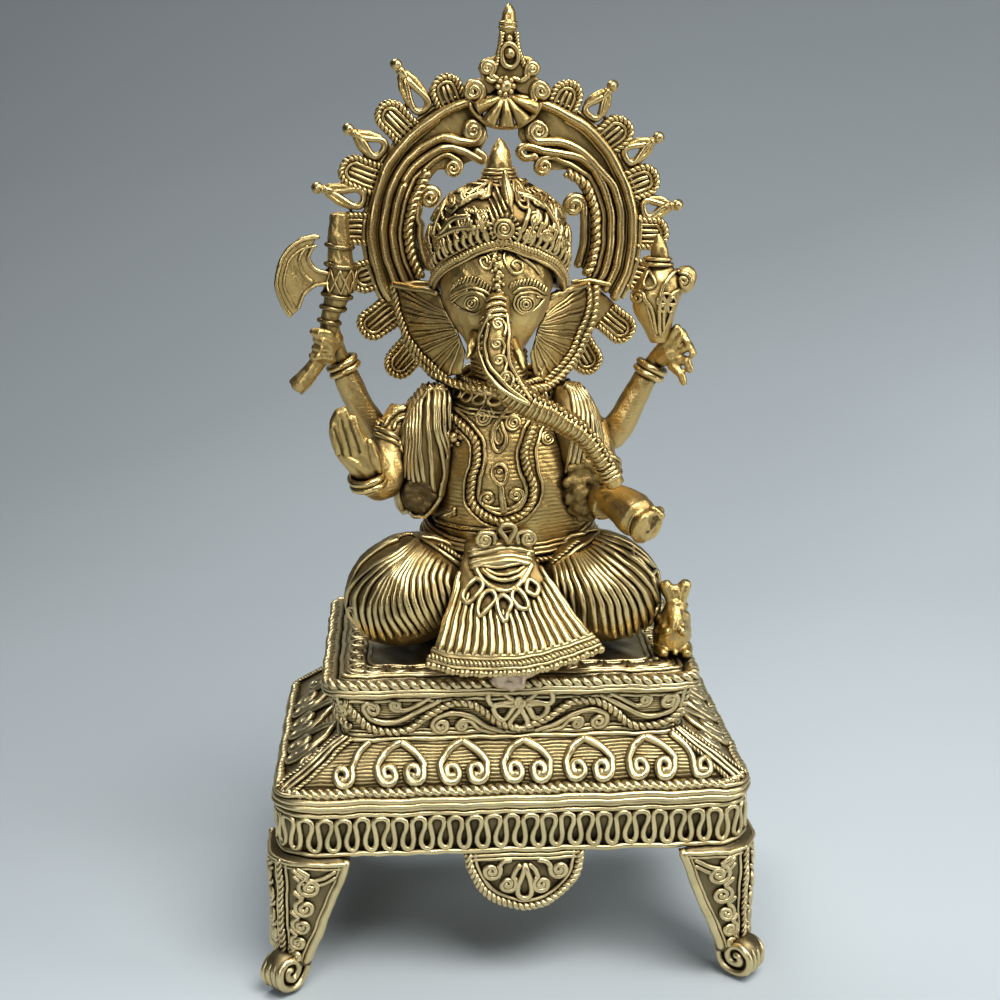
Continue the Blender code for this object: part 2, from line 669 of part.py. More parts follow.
def arc(radius, start, end, step, side):
    count = max(2, round(abs(end - start) / step))
    return [on_halo(start + (end - start) * i / count, radius, side) for i in range(count + 1)]


def spoke(angle, side):
    """Unit vectors in (x, z): outwards at an angle from the top, and onwards round the ring."""
    a = math.radians(angle)
    return Vector((side * math.sin(a), math.cos(a))), Vector((side * math.cos(a), -math.sin(a)))


def rim_with_rays(rays, side):
    """The plate's outer edge from top to tail, stepping out round each round-ended ray."""
    centre = Vector((HALO_X, HALO_Z))
    half = RAY_W / 2
    points = [on_halo(PLATE_START, PLATE_OUT, side)]
    in_tail = False
    for angle, tip in rays:
        if angle > PLATE_END and not in_tail:
            points += [on_halo(PLATE_END, PLATE_OUT, side), on_halo(PLATE_END, TAIL_OUT, side)]
            in_tail = True
        root = TAIL_OUT if in_tail else PLATE_OUT
        out, across = spoke(angle, side)
        reach = math.sqrt(root * root - half * half)
        tongue = [centre + out * reach - across * half]
        for i in range(7):
            turn = math.pi * (i / 6 - 0.5)
            reach_now = tip - half + half * math.cos(turn)
            tongue.append(centre + out * reach_now + across * half * math.sin(turn))
        tongue.append(centre + out * reach + across * half)
        points += [tuple(point) for point in tongue]
    points.append(on_halo(TAIL_END, TAIL_OUT, side))
    return points


def eyelet(angle, ball_at, side, wire):
    """A long wire loop on the rim, with a ball on its tip."""
    out, across = [Vector((v.x, 0, v.y)) for v in spoke(angle, side)]
    centre = Vector((HALO_X, PLATE_Y0 - 0.2, HALO_Z))
    low, high = PLATE_OUT + 0.4, ball_at - 2.6
    middle, half = (low + high) / 2, (high - low) / 2
    ring = []
    for i in range(10):
        turn = 2 * math.pi * i / 10
        narrow = 1.0 - 0.25 * math.cos(turn)
        ring.append(centre + out * (middle + half * math.cos(turn)) + across * 2.9 * narrow * math.sin(turn))
    loop = tube("eye", ring, wire, radius=1.1, closed=True, resolution=1)
    tip = ball("ball", centre + out * ball_at, (BALL_R,) * 3, wire, rings=6, sides=8)
    return joined(loop, tip)


def halo_plate(name, side, rays, eyelets, wire):
    """Half of the halo's backing, with its rays and eyelets."""
    outline = rim_with_rays(rays, side)
    outline += arc(TAIL_IN, TAIL_END, PLATE_END, 10, side)
    outline += arc(PLATE_IN, PLATE_END, PEAK_END, 10, side)
    outline += arc(PEAK_IN, PEAK_END - PEAK_SLANT, PEAK_START, 8, side)
    outline += [on_halo(PLATE_START, PLATE_IN + 2, side)]
    base = plate(name, outline, PLATE_Y0, PLATE_Y1, wire)
    return joined(base, *[eyelet(angle, ball_at, side, wire) for angle, ball_at in eyelets])


def halo_wire(name, points, wire, radius, y=HALO_Y):
    return tube(name, [(x, y, z) for x, z in points], wire, radius=radius, resolution=1)


def inner_scroll(name, side, curl_rise, wire):
    """The innermost thread, which ends in a curl beside the crown."""
    points = arc(26.3, 117, 85 - curl_rise, 8, side)
    curl_x, curl_z = HALO_X + side * 22.6, HALO_Z + curl_rise + 1.6
    for i in range(9):
        turn = math.radians(-20 + 50 * i)
        r = 3.7 - 0.32 * i
        points.append((curl_x + side * r * math.cos(turn), curl_z + r * math.sin(turn)))
    return halo_wire(name, points, wire, 1.2, y=HALO_Y - 0.2)


def crest(brass):
    """The scrolled peak over the shell, and its bullet-shaped tip."""
    middle = 2.4
    half = [(12.6, 269.0), (15.6, 272.6), (14.0, 276.6), (10.6, 277.6), (12.2, 280.6), (9.2, 283.8),
            (6.4, 284.1),
            (5.4, 288.5), (4.8, 292.6)]
    left = [(2 * middle - x, z) for x, z in reversed(half)]
    peak = plate("halo_crest", half + left, HALO_Y - 1.2, HALO_Y + 2.2, brass)
    profile = ((291.0, 2.4), (292.2, 2.9), (293.8, 2.9), (294.4, 2.5), (297.4, 2.1), (299.2, 1.1),
               (TOP_Z, 0.3))
    tip = stack("tip", [(2.6, HALO_Y + 0.5, z, r, r) for z, r in profile], brass, sides=10)
    return joined(peak, tip)


def shell(brass):
    """The scallop that closes the ring at the top, hinge uppermost."""
    centre_x, hinge_z = 1.6, 274.0
    points = [(centre_x - 2.4, hinge_z), (centre_x + 2.4, hinge_z)]
    for i in range(11):
        a = math.radians(62 - 124 * i / 10)
        points.append((centre_x + 12.4 * math.sin(a), hinge_z - 1.0 - 11.2 * math.cos(a)))
    return plate("halo_shell", points, HALO_Y - 3.6, HALO_Y + 0.2, brass)


def halo(brass, wire):
    outer = arc(HALO_R, -120, 120, 8, 1)
    lower = ((-33.2, 11.0, 212.5), (-32.6, 9.5, 204.0), (-29.4, 5.5, 195.0), (-23.4, 0.0, 187.4),
             (-14.5, -8.0, 184.4),
             (-2.0, -13.5, 184.0), (9.0, -10.5, 183.2), (16.8, -4.0, 184.8), (23.4, 3.5, 191.4),
             (28.6, 8.5, 201.0),
             (30.6, 11.0, 212.0))
    return [
        shell(brass),
        halo_wire("halo_outer_wire", outer, wire, HALO_WIRE_R),
        halo_plate("halo_plate_right", -1, RAYS_RIGHT, EYELETS_RIGHT, wire),
        halo_plate("halo_plate_left", 1, RAYS_LEFT, EYELETS_LEFT, wire),
        halo_wire("halo_rope_right", arc(30.2, 41, 117, 8, -1), wire, 1.6),
        halo_wire("halo_rope_left", arc(30.2, 41, 117, 8, 1), wire, 1.6),
        inner_scroll("halo_scroll_right", -1, 10.0, wire),
        inner_scroll("halo_scroll_left", 1, 8.0, wire),
        crest(brass),
        smooth_tube("halo_lower_rope", lower, wire, per=2, radius=1.5, resolution=1),
    ]


# ---------------------------------------------------------------- companions and repairs

def mouse(brass):
    """The little rat on its haunches, ears up."""
    haunch = ball("mouse", (51.8, -24.0, 109.0), (5.8, 7.0, 8.9), brass, rings=8, sides=12)
    skull = ball("skull", (52.4, -26.0, 119.4), (4.2, 4.8, 4.4), brass, rings=6, sides=10)
    parts = [haunch, skull]
    for side in (-1, 1):
        x = 52.8 + side * 3.4
        lobe = ball("lobe", (x, -24.0, 124.2), (2.6, 1.3, 3.6), brass, rings=5, sides=8,
                    turn=Matrix.Rotation(math.radians(side * 18), 4, "Y"))
        parts.append(lobe)
    return joined(*parts)


def braze_fillet(filler):
    return ball("braze_fillet", (-0.6, -44.6, 99.0), (8.5, 3.6, 5.4), filler, rings=8, sides=14)


def main():
    clear_scene()
    brass = metal("cast_brass", (0.60, 0.44, 0.19), 0.32)
    wire = metal("thread_brass", (0.66, 0.50, 0.23), 0.28)
    base_brass = metal("throne_brass", (0.55, 0.44, 0.24), 0.36)
    filler = metal("braze_filler", (0.68, 0.50, 0.40), 0.5)
    pieces = throne(base_brass)
    pieces += legs(base_brass)
    pieces.append(front_pendant(base_brass))
    pieces += body(brass, wire)
    pieces += head_pieces(brass, wire)
    pieces += arms(brass, wire)
    pieces += halo(brass, wire)
    pieces.append(mouse(brass))
    pieces.append(braze_fillet(filler))
    fit_together(pieces)


main()
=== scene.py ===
"""Looks of the lost-wax brass Ganesha: every wax thread, rope, spiral and bead on the fixed CAD frame.

Lengths are in millimetres until a piece is finished. The figure faces -Y and its own right is at -X.
"""

import math

import bmesh
import bpy
import numpy as np
from mathutils import Matrix, Vector
from mathutils.bvhtree import BVHTree


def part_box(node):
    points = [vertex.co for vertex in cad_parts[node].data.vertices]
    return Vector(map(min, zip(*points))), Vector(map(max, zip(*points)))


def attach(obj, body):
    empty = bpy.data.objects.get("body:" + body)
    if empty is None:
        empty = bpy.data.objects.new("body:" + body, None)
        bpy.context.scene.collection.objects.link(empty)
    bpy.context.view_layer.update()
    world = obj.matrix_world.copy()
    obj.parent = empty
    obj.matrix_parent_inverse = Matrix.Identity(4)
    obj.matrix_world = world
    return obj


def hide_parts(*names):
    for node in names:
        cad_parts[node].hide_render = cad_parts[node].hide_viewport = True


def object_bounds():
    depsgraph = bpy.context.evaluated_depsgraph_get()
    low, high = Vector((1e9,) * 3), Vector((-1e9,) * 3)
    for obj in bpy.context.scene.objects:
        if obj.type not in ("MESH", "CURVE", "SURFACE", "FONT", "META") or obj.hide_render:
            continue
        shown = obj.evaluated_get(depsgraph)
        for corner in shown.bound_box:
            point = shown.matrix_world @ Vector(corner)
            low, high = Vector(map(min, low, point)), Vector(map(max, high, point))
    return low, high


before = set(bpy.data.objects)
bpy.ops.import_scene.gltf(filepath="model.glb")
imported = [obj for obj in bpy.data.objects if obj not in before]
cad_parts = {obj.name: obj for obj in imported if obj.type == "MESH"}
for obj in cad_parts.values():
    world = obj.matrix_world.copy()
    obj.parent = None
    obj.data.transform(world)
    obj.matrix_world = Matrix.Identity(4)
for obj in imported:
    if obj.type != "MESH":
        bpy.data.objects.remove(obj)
CAD_LOW, CAD_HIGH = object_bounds()

MM = 0.001
TAU = 2 * math.pi
UP = np.array((0.0, 0.0, 1.0))
GOLDEN = 2.399963
LABEL = {-1: "right", 1: "left"}
CORNERS = ((-1, -1), (-1, 1), (1, -1), (1, 1))
BEAD_RINGS, BEAD_SIDES = 6, 10
STRANDS, STEPS_A_TWIST = 2, 9
STRAIGHT, BEND = 40, 14


def vec(*numbers):
    return np.array(numbers, float)


def circle(count):
    """Angles evenly round a circle."""
    return np.arange(count) * TAU / count


def extent(node_name):
    """Lowest and highest corner of a CAD node."""
    low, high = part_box(node_name)
    return np.array(low) / MM, np.array(high) / MM


def unit(rows):
    rows = np.asarray(rows, float)
    return rows / np.maximum(np.linalg.norm(rows, axis=-1, keepdims=True), 1e-9)


# ---------------------------------------------------------------- lines

def smooth(stops, per=8, closed=False):
    """Catmull-Rom through the stops, of any dimension."""
    rows = np.asarray(stops, float)
    count = len(rows)
    spans = count if closed else count - 1
    out = []
    t = np.arange(per)[:, None] / per
    for span in range(spans):
        if closed:
            p0, p1, p2, p3 = (rows[(span + k) % count] for k in (-1, 0, 1, 2))
        else:
            p0, p1, p2, p3 = (rows[min(max(span + k, 0), count - 1)] for k in (-1, 0, 1, 2))
        out.append(0.5 * (2 * p1 + (p2 - p0) * t + (2 * p0 - 5 * p1 + 4 * p2 - p3) * t ** 2
                          + (3 * p1 - p0 - 3 * p2 + p3) * t ** 3))
    if not closed:
        out.append(rows[-1:])
    return np.concatenate(out)


def evenly(path, step, closed=False):
    """The path again with its points a set distance apart, and their distances along it."""
    path = np.asarray(path, float)
    if closed:
        path = np.vstack([path, path[:1]])
    lengths = np.concatenate([[0], np.cumsum(np.linalg.norm(np.diff(path, axis=0), axis=1))])
    count = max(3, int(round(lengths[-1] / step)))
    at = np.linspace(0, lengths[-1], count + 1)
    if closed:
        at = at[:-1]
    return np.column_stack([np.interp(at, lengths, path[:, k]) for k in range(path.shape[1])]), at


def curl(u, v, radius, start, turns, hand=1, inner=0.16, per_turn=16):
    """A flat spiral from its outside in, from a start angle in degrees; hand 1 turns anticlockwise."""
    steps = max(6, int(per_turn * turns))
    t = np.linspace(0, 1, steps)
    angle = math.radians(start) + hand * TAU * turns * t
    r = radius * (1 - (1 - inner) * t ** 0.9)
    return np.column_stack([u + r * np.cos(angle), v + r * np.sin(angle)])


def lead_in(stops, spiral, per):
    """A smooth line through the stops that runs into a spiral."""
    return np.vstack([smooth([*stops, spiral[0]], per)[:-1], spiral])


def scroll(stops, u, v, radius, start, turns, hand=1):
    """A lead through the stops that runs into a curl about (u, v)."""
    return lead_in(stops, curl(u, v, radius, start, turns, hand), 7)


def ring(u, v, ru, rv, sides):
    angle = circle(sides)
    return np.column_stack([u + ru * np.cos(angle), v + rv * np.sin(angle)])


def teardrop(u, v, length, width, turn=-90.0):
    """A loop with its point at (u, v), hanging towards the turn angle."""
    t = np.linspace(0, 1, 16)
    along = length * np.sin(math.pi * t) ** 0.9
    across = width * 0.5 * np.sin(TAU * t) * np.abs(np.sin(math.pi * t)) ** 0.35 * 1.25
    a = math.radians(turn)
    return np.column_stack([u + along * math.cos(a) - across * math.sin(a),
                            v + along * math.sin(a) + across * math.cos(a)])


def between(rows, count, points):
    """Lines spread evenly over a list of neighbouring lines, each with the same count of points."""
    share = np.linspace(0, 1, points)
    known = [evenly(smooth(stops), 1.0)[0] for stops in rows]
    known = [np.column_stack([np.interp(share, np.linspace(0, 1, len(row)), row[:, k]) for k in (0, 1)])
             for row in known]
    out = []
    for k in range(count):
        at = k / (count - 1) * (len(known) - 1)
        first = min(int(at), len(known) - 2)
        out.append(known[first] * (1 - (at - first)) + known[first + 1] * (at - first))
    return out


def frames(path, closed=False):
    """Two cross directions along a path that don't twist."""
    if closed:
        tangent = unit(np.roll(path, -1, 0) - np.roll(path, 1, 0))
    else:
        tangent = unit(np.gradient(path, axis=0))
    side = np.empty_like(path)
    current = np.cross(tangent[0], np.eye(3)[np.argmin(np.abs(tangent[0]))])
    for i, t in enumerate(tangent):
        current = current - t * (current @ t)
        current = current / max(math.sqrt(current @ current), 1e-9)
        side[i] = current
    up = np.cross(tangent, side)
    if closed:
        last = side[-1] - tangent[0] * (side[-1] @ tangent[0])
        slip = math.atan2(last @ up[0], last @ side[0])
        turn = -slip * np.arange(len(path))[:, None] / len(path)
        side, up = side * np.cos(turn) + up * np.sin(turn), up * np.cos(turn) - side * np.sin(turn)
    return side, up


# ---------------------------------------------------------------- clay

class Clay:
    """Bars, ropes and beads gathered into one mesh."""

    def __init__(self):
        self.points, self.quads, self.tris, self.count = [], [], [], 0

    def add(self, points, quads=None, tris=None):
        if quads is not None and len(quads):
            self.quads.append(np.asarray(quads) + self.count)
        if tris is not None and len(tris):
            self.tris.append(np.asarray(tris) + self.count)
        self.points.append(points)
        self.count += len(points)

    def bar(self, path, radius, sides=7, closed=False):
        """A round bar with rounded ends. The radius may change along it."""
        path = np.asarray(path, float)
        radii = np.broadcast_to(np.asarray(radius, float), (len(path),)).copy()
        if not closed:
            first, last = unit(path[0] - path[1]), unit(path[-1] - path[-2])
            reach, taper = 0.62, 0.66
            path = np.vstack([path[0] + first * radii[0] * reach, path, path[-1] + last * radii[-1] * reach])
            radii = np.concatenate([[radii[0] * taper], radii, [radii[-1] * taper]])
        side, up = frames(path, closed)
        turn = circle(sides)
        rims = (path[:, None] + radii[:, None, None]
                * (side[:, None] * np.cos(turn)[None, :, None] + up[:, None] * np.sin(turn)[None, :, None]))
        rows = len(path)
        grid = np.arange(rows * sides).reshape(rows, sides)
        after = np.roll(grid, -1, 1)
        if closed:
            lower, upper = np.roll(grid, -1, 0), np.roll(after, -1, 0)
            quads = np.stack([grid, after, upper, lower], -1).reshape(-1, 4)
            self.add(rims.reshape(-1, 3), quads)
            return
        quads = np.stack([grid[:-1], after[:-1], after[1:], grid[1:]], -1).reshape(-1, 4)
        tips = np.vstack([path[0] + first * radii[1] * 0.2, path[-1] + last * radii[-2] * 0.2])
        head, tail = rows * sides, rows * sides + 1
        tris = [(after[0, i], grid[0, i], head) for i in range(sides)]
        tris += [(grid[-1, i], after[-1, i], tail) for i in range(sides)]
        self.add(np.vstack([rims.reshape(-1, 3), tips]), quads, tris)

    def rope(self, path, radius, pitch, closed=False):
        """Threads twisted together, as wide over all as twice the radius."""
        step = pitch / STEPS_A_TWIST
        path, at = evenly(path, step, closed)
        side, up = frames(path, closed)
        total = at[-1] + (step if closed else 0)
        turns = max(1, round(total / pitch))
        for strand in range(STRANDS):
            angle = (TAU * turns * at / total + TAU * strand / STRANDS)[:, None]
            middle = path + radius * 0.46 * (side * np.cos(angle) + up * np.sin(angle))
            self.bar(middle, radius * 0.6, 6, closed)

    def bead(self, centre, radius, squash=1.0, axis=(0, 1, 0)):
        """A small ball, flattened along an axis."""
        rings, sides = BEAD_RINGS, BEAD_SIDES
        axis = unit(axis)
        a = unit(np.cross(axis, np.eye(3)[np.argmin(np.abs(axis))]))
        b = np.cross(axis, a)
        rows = []
        for i in range(1, rings):
            polar = math.pi * i / rings
            turn = circle(sides)
            rows.append(np.asarray(centre) + axis * radius * squash * math.cos(polar)
                        + radius * math.sin(polar) * (np.outer(np.cos(turn), a) + np.outer(np.sin(turn), b)))
        poles = np.vstack([centre + axis * radius * squash, centre - axis * radius * squash])
        grid = np.arange((rings - 1) * sides).reshape(rings - 1, sides)
        after = np.roll(grid, -1, 1)
        quads = np.stack([grid[:-1], grid[1:], after[1:], after[:-1]], -1).reshape(-1, 4)
        top, bottom = grid.size, grid.size + 1
        tris = [(grid[0, i], after[0, i], top) for i in range(sides)]
        tris += [(after[-1, i], grid[-1, i], bottom) for i in range(sides)]
        self.add(np.vstack([np.vstack(rows), poles]), quads, tris)

    def loft(self, loops, closed_up=False):
        """A skin over equal loops: closed_up joins the last to the first, or else fans cap both ends."""
        loops = np.asarray(loops, float)
        rows, sides = loops.shape[:2]
        grid = np.arange(rows * sides).reshape(rows, sides)
        after = np.roll(grid, -1, 1)
        if closed_up:
            below, across = np.roll(grid, -1, 0), np.roll(after, -1, 0)
            self.add(loops.reshape(-1, 3), np.stack([grid, after, across, below], -1).reshape(-1, 4))
            return
        quads = np.stack([grid[:-1], after[:-1], after[1:], grid[1:]], -1).reshape(-1, 4)
        caps = np.vstack([loops[0].mean(0), loops[-1].mean(0)])
        tris = [(after[0, i], grid[0, i], grid.size) for i in range(sides)]
        tris += [(grid[-1, i], after[-1, i], grid.size + 1) for i in range(sides)]
        self.add(np.vstack([loops.reshape(-1, 3), caps]), quads, tris)

    def mesh(self, name):
        points = np.vstack(self.points)
        quads = np.vstack(self.quads) if self.quads else np.zeros((0, 4), int)
        tris = np.vstack(self.tris) if self.tris else np.zeros((0, 3), int)
        return build_mesh(name, points, quads, tris)


def build_mesh(name, points, quads, tris):
    mesh = bpy.data.meshes.new(name)
    mesh.vertices.add(len(points))
    mesh.vertices.foreach_set("co", np.ascontiguousarray(points * MM, np.float32).ravel())
    corners = np.concatenate([quads.ravel(), tris.ravel()]).astype(np.int32)
    mesh.loops.add(len(corners))
    mesh.loops.foreach_set("vertex_index", corners)
    starts = np.concatenate([np.arange(len(quads)) * 4, len(quads) * 4 + np.arange(len(tris)) * 3])
    mesh.polygons.add(len(starts))
    mesh.polygons.foreach_set("loop_start", starts.astype(np.int32))
    mesh.update(calc_edges=True)
    mesh.validate()
    return mesh


def hand_made(points):
    """The small unevenness of hand work: slow waves, the same for a body and for the threads on it."""
    moved = points.copy()
    for size, length, phase in ((0.16, 21.0, 0.7), (0.10, 9.0, 2.1), (0.045, 3.7, 4.4)):
        k = TAU / length
        x, y, z = points[:, 0] * k, points[:, 1] * k, points[:, 2] * k
        moved[:, 0] += size * np.sin(y * 1.1 + z + phase)
        moved[:, 1] += size * np.sin(z * 0.9 + x * 1.2 + phase * 2)
        moved[:, 2] += size * np.sin(x + y * 0.8 + phase * 3)
    low, high = np.array(CAD_LOW) / MM, np.array(CAD_HIGH) / MM
    return np.clip(moved, low, high)


def linked(name, data):
    """A new object in the scene."""
    made = bpy.data.objects.new(name, data)
    bpy.context.scene.collection.objects.link(made)
    return made


def finish_piece(name, mesh, material, *nodes):
    """A piece of the visual model in place of some CAD nodes, with its material."""
    points = np.empty(len(mesh.vertices) * 3, np.float32)
    mesh.vertices.foreach_get("co", points)
    points = hand_made(points.reshape(-1, 3).astype(float) / MM) * MM
    mesh.vertices.foreach_set("co", np.ascontiguousarray(points, np.float32).ravel())
    mesh.update()
    mesh.shade_smooth()
    mesh.materials.clear()
    mesh.materials.append(material)
    made = linked(name, mesh)
    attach(made, "root")
    if nodes:
        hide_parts(*nodes)


def threads(name, clay, material, *nodes):
    finish_piece(name, clay.mesh(name), material, *nodes)


def fused(name, mesh, voxel, rounds, swell):
    """One smooth skin over everything in a mesh, as wax pieces melt together."""
    rough = linked(name + "_rough", mesh)
    if swell:
        grow = rough.modifiers.new("swell", "DISPLACE")
        grow.strength = swell * MM
        grow.mid_level = 0.0
    skin = rough.modifiers.new("skin", "REMESH")
    skin.mode = "VOXEL"
    skin.voxel_size = voxel * MM
    soften = rough.modifiers.new("soften", "SMOOTH")
    soften.factor = 0.5
    soften.iterations = rounds
    graph = bpy.context.evaluated_depsgraph_get()
    result = bpy.data.meshes.new_from_object(rough.evaluated_get(graph))
    bpy.data.objects.remove(rough)
    return result


def tree_of(mesh):
    points = np.empty(len(mesh.vertices) * 3, np.float32)
    mesh.vertices.foreach_get("co", points)
    points = points.reshape(-1, 3) / MM
    return BVHTree.FromPolygons(points.tolist(), [tuple(face.vertices) for face in mesh.polygons])


def body(name, node_name, material, voxel, rounds, swell):
    """The smooth body of a CAD node. Returns the surface that threads are pressed onto."""
    source = bmesh.new()
    source.from_mesh(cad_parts[node_name].data)
    bmesh.ops.remove_doubles(source, verts=source.verts, dist=1e-6)
    mesh = bpy.data.meshes.new(name)
    source.to_mesh(mesh)
    source.free()
    mesh = fused(name, mesh, voxel, rounds, swell)
    surface = tree_of(mesh)
    finish_piece(name, mesh, material, node_name)
    return surface


def sculpture(name, clay, material, *nodes, voxel, rounds):
    """A body modelled from bars and balls that are melted together."""
    mesh = fused(name, clay.mesh(name), voxel, rounds, 0.0)
    surface = tree_of(mesh)
    finish_piece(name, mesh, material, *nodes)
    return surface


# ---------------------------------------------------------------- places to draw

def cast(surface, points, direction, lift):
    """Points moved along a direction onto a surface, then off it by lift."""
    heading = Vector(direction)
    out = []
    for point in points:
        start = Vector(point) - heading * 400
        place, normal, _, _ = surface.ray_cast(start, heading)
        if place is None:
            place, normal, _, _ = surface.find_nearest(Vector(point))
        out.append(np.array(place) + np.array(normal) * lift)
    return np.array(out)


def pressed(surface, points, lift):
    """Points moved to the nearest place on a surface, then off it by lift."""
    out = []
    for point in points:
        place, normal, _, _ = surface.find_nearest(Vector(point))
        out.append(np.array(place) + np.array(normal) * lift)
    return np.array(out)


def from_front(surface, y=-30.0):
    """Drawing in (x, z) onto a body as seen from the front."""
    def place(flat, lift=0.0):
        flat = np.asarray(flat, float)
        points = np.column_stack([flat[:, 0], np.full(len(flat), y), flat[:, 1]])
        return cast(surface, points, (0, 1, 0), lift)
    return place


def around_axis(surface, x, y):
    """Drawing in (angle in degrees, z) onto a body from all round an upright axis; angle 0 is the front."""
    def place(flat, lift=0.0):
        out = []
        for angle, z in np.asarray(flat, float):
            a = math.radians(angle)
            heading = Vector((-math.sin(a), math.cos(a), 0))
            start = Vector((x, y, z)) - heading * 90
            spot, normal, _, _ = surface.ray_cast(start, heading)
            if spot is None:
                spot, normal, _, _ = surface.find_nearest(Vector((x, y, z)) - heading * 15)
            out.append(np.array(spot) + np.array(normal) * lift)
        return np.array(out)
    return place


def flat_face(origin, along, up):
    """Drawing in (u, v) on a plane that faces along x up."""
    origin, along, up = np.asarray(origin, float), unit(along), unit(up)
    normal = unit(np.cross(along, up))

    def place(flat, lift=0.0):
        flat = np.asarray(flat, float)
        return origin + flat[:, :1] * along + flat[:, 1:2] * up + normal * lift
    return place


def round_corners(half_x, half_y, radius, z):
    """A rounded rectangle, anticlockwise from the middle of the front, with a fixed count of points."""
    arcs = []
    for quarter, (sx, sy) in enumerate(((1, -1), (1, 1), (-1, 1), (-1, -1))):
        centre = vec(sx * (half_x - radius), sy * (half_y - radius))
        turn = math.pi / 2 * (quarter - 1)
        angles = [turn + math.pi / 2 * step / BEND for step in range(BEND + 1)]
        arcs.append(np.array([centre + radius * vec(math.cos(a), math.sin(a)) for a in angles]))
    out = []
    for quarter, arc in enumerate(arcs):
        start = arcs[quarter - 1][-1]
        t = np.linspace(0, 1, STRAIGHT, endpoint=False)[:, None]
        out += [(start + (arc[0] - start) * t)[1:], arc]
    loop = np.roll(np.vstack(out), -(STRAIGHT // 2), 0)
    return np.column_stack([loop, np.full(len(loop), z)])


class Storey:
    """The outside of one storey of the throne: u runs round it from the middle of the front, v up it."""

    def __init__(self, low, high, radius, inset=0.0):
        self.low = round_corners(low[0] - inset, low[1] - inset, radius, low[2])
        self.high = round_corners(high[0] - inset, high[1] - inset, radius, high[2])
        middle = (self.low + self.high) / 2
        steps = np.linalg.norm(np.diff(np.vstack([middle, middle[:1]]), axis=0), axis=1)
        self.at = np.concatenate([[0], np.cumsum(steps)])
        self.length = self.at[-1]
        rise = self.high - self.low
        self.height = float(np.linalg.norm(rise[0]))
        along = np.roll(middle, -1, 0) - np.roll(middle, 1, 0)
        self.normal = unit(np.cross(along, rise))

    def __call__(self, flat, lift=0.0):
        flat = np.asarray(flat, float)
        u = np.mod(flat[:, 0], self.length)
        t = flat[:, 1:2] / self.height

        def along(rows):
            rows = np.vstack([rows, rows[:1]])
            return np.column_stack([np.interp(u, self.at, rows[:, k]) for k in range(3)])

        return along(self.low) * (1 - t) + along(self.high) * t + along(self.normal) * lift

    def level(self, v):
        """A line all the way round at one height."""
        count = int(self.length / 1.2)
        return np.column_stack([np.linspace(0, self.length, count, endpoint=False), np.full(count, v)])

    def middles(self):
        """u of the middle of the front, the +X end, the back and the -X end."""
        end = self.at[np.argmax(self.low[:, 0] + 0.001 * -np.abs(self.low[:, 1]))]
        return 0.0, end, self.length / 2, self.length - end


# ---------------------------------------------------------------- materials

def node(tree, kind, **settings):
    made = tree.nodes.new(kind)
    for key, value in settings.items():
        setattr(made, key, value)
    return made


def remap(tree, value, from_low, from_high, to_low, to_high, kind="LINEAR"):
    made = node(tree, "ShaderNodeMapRange", interpolation_type=kind)
    for label, number in (("From Min", from_low), ("From Max", from_high), ("To Min", to_low),
                          ("To Max", to_high)):
        made.inputs[label].default_value = number
    tree.links.new(value, made.inputs["Value"])
    return made.outputs["Result"]


def noise(tree, place, scale, detail):
    made = node(tree, "ShaderNodeTexNoise")
    made.inputs["Scale"].default_value = scale
    made.inputs["Detail"].default_value = detail
    tree.links.new(place, made.inputs["Vector"])
    return made.outputs["Fac"]


def reckon(tree, operation, *values):
    """A sum worked out from numbers and the outputs of other nodes."""
    made = node(tree, "ShaderNodeMath", operation=operation)
    for socket, value in zip(made.inputs, values):
        if isinstance(value, bpy.types.NodeSocket):
            tree.links.new(value, socket)
        else:
            socket.default_value = value
    return made.outputs["Value"]


def relief(tree, height, strength, distance):
    made = node(tree, "ShaderNodeBump")
    made.inputs["Strength"].default_value = strength
    made.inputs["Distance"].default_value = distance
    tree.links.new(height, made.inputs["Height"])
    return made


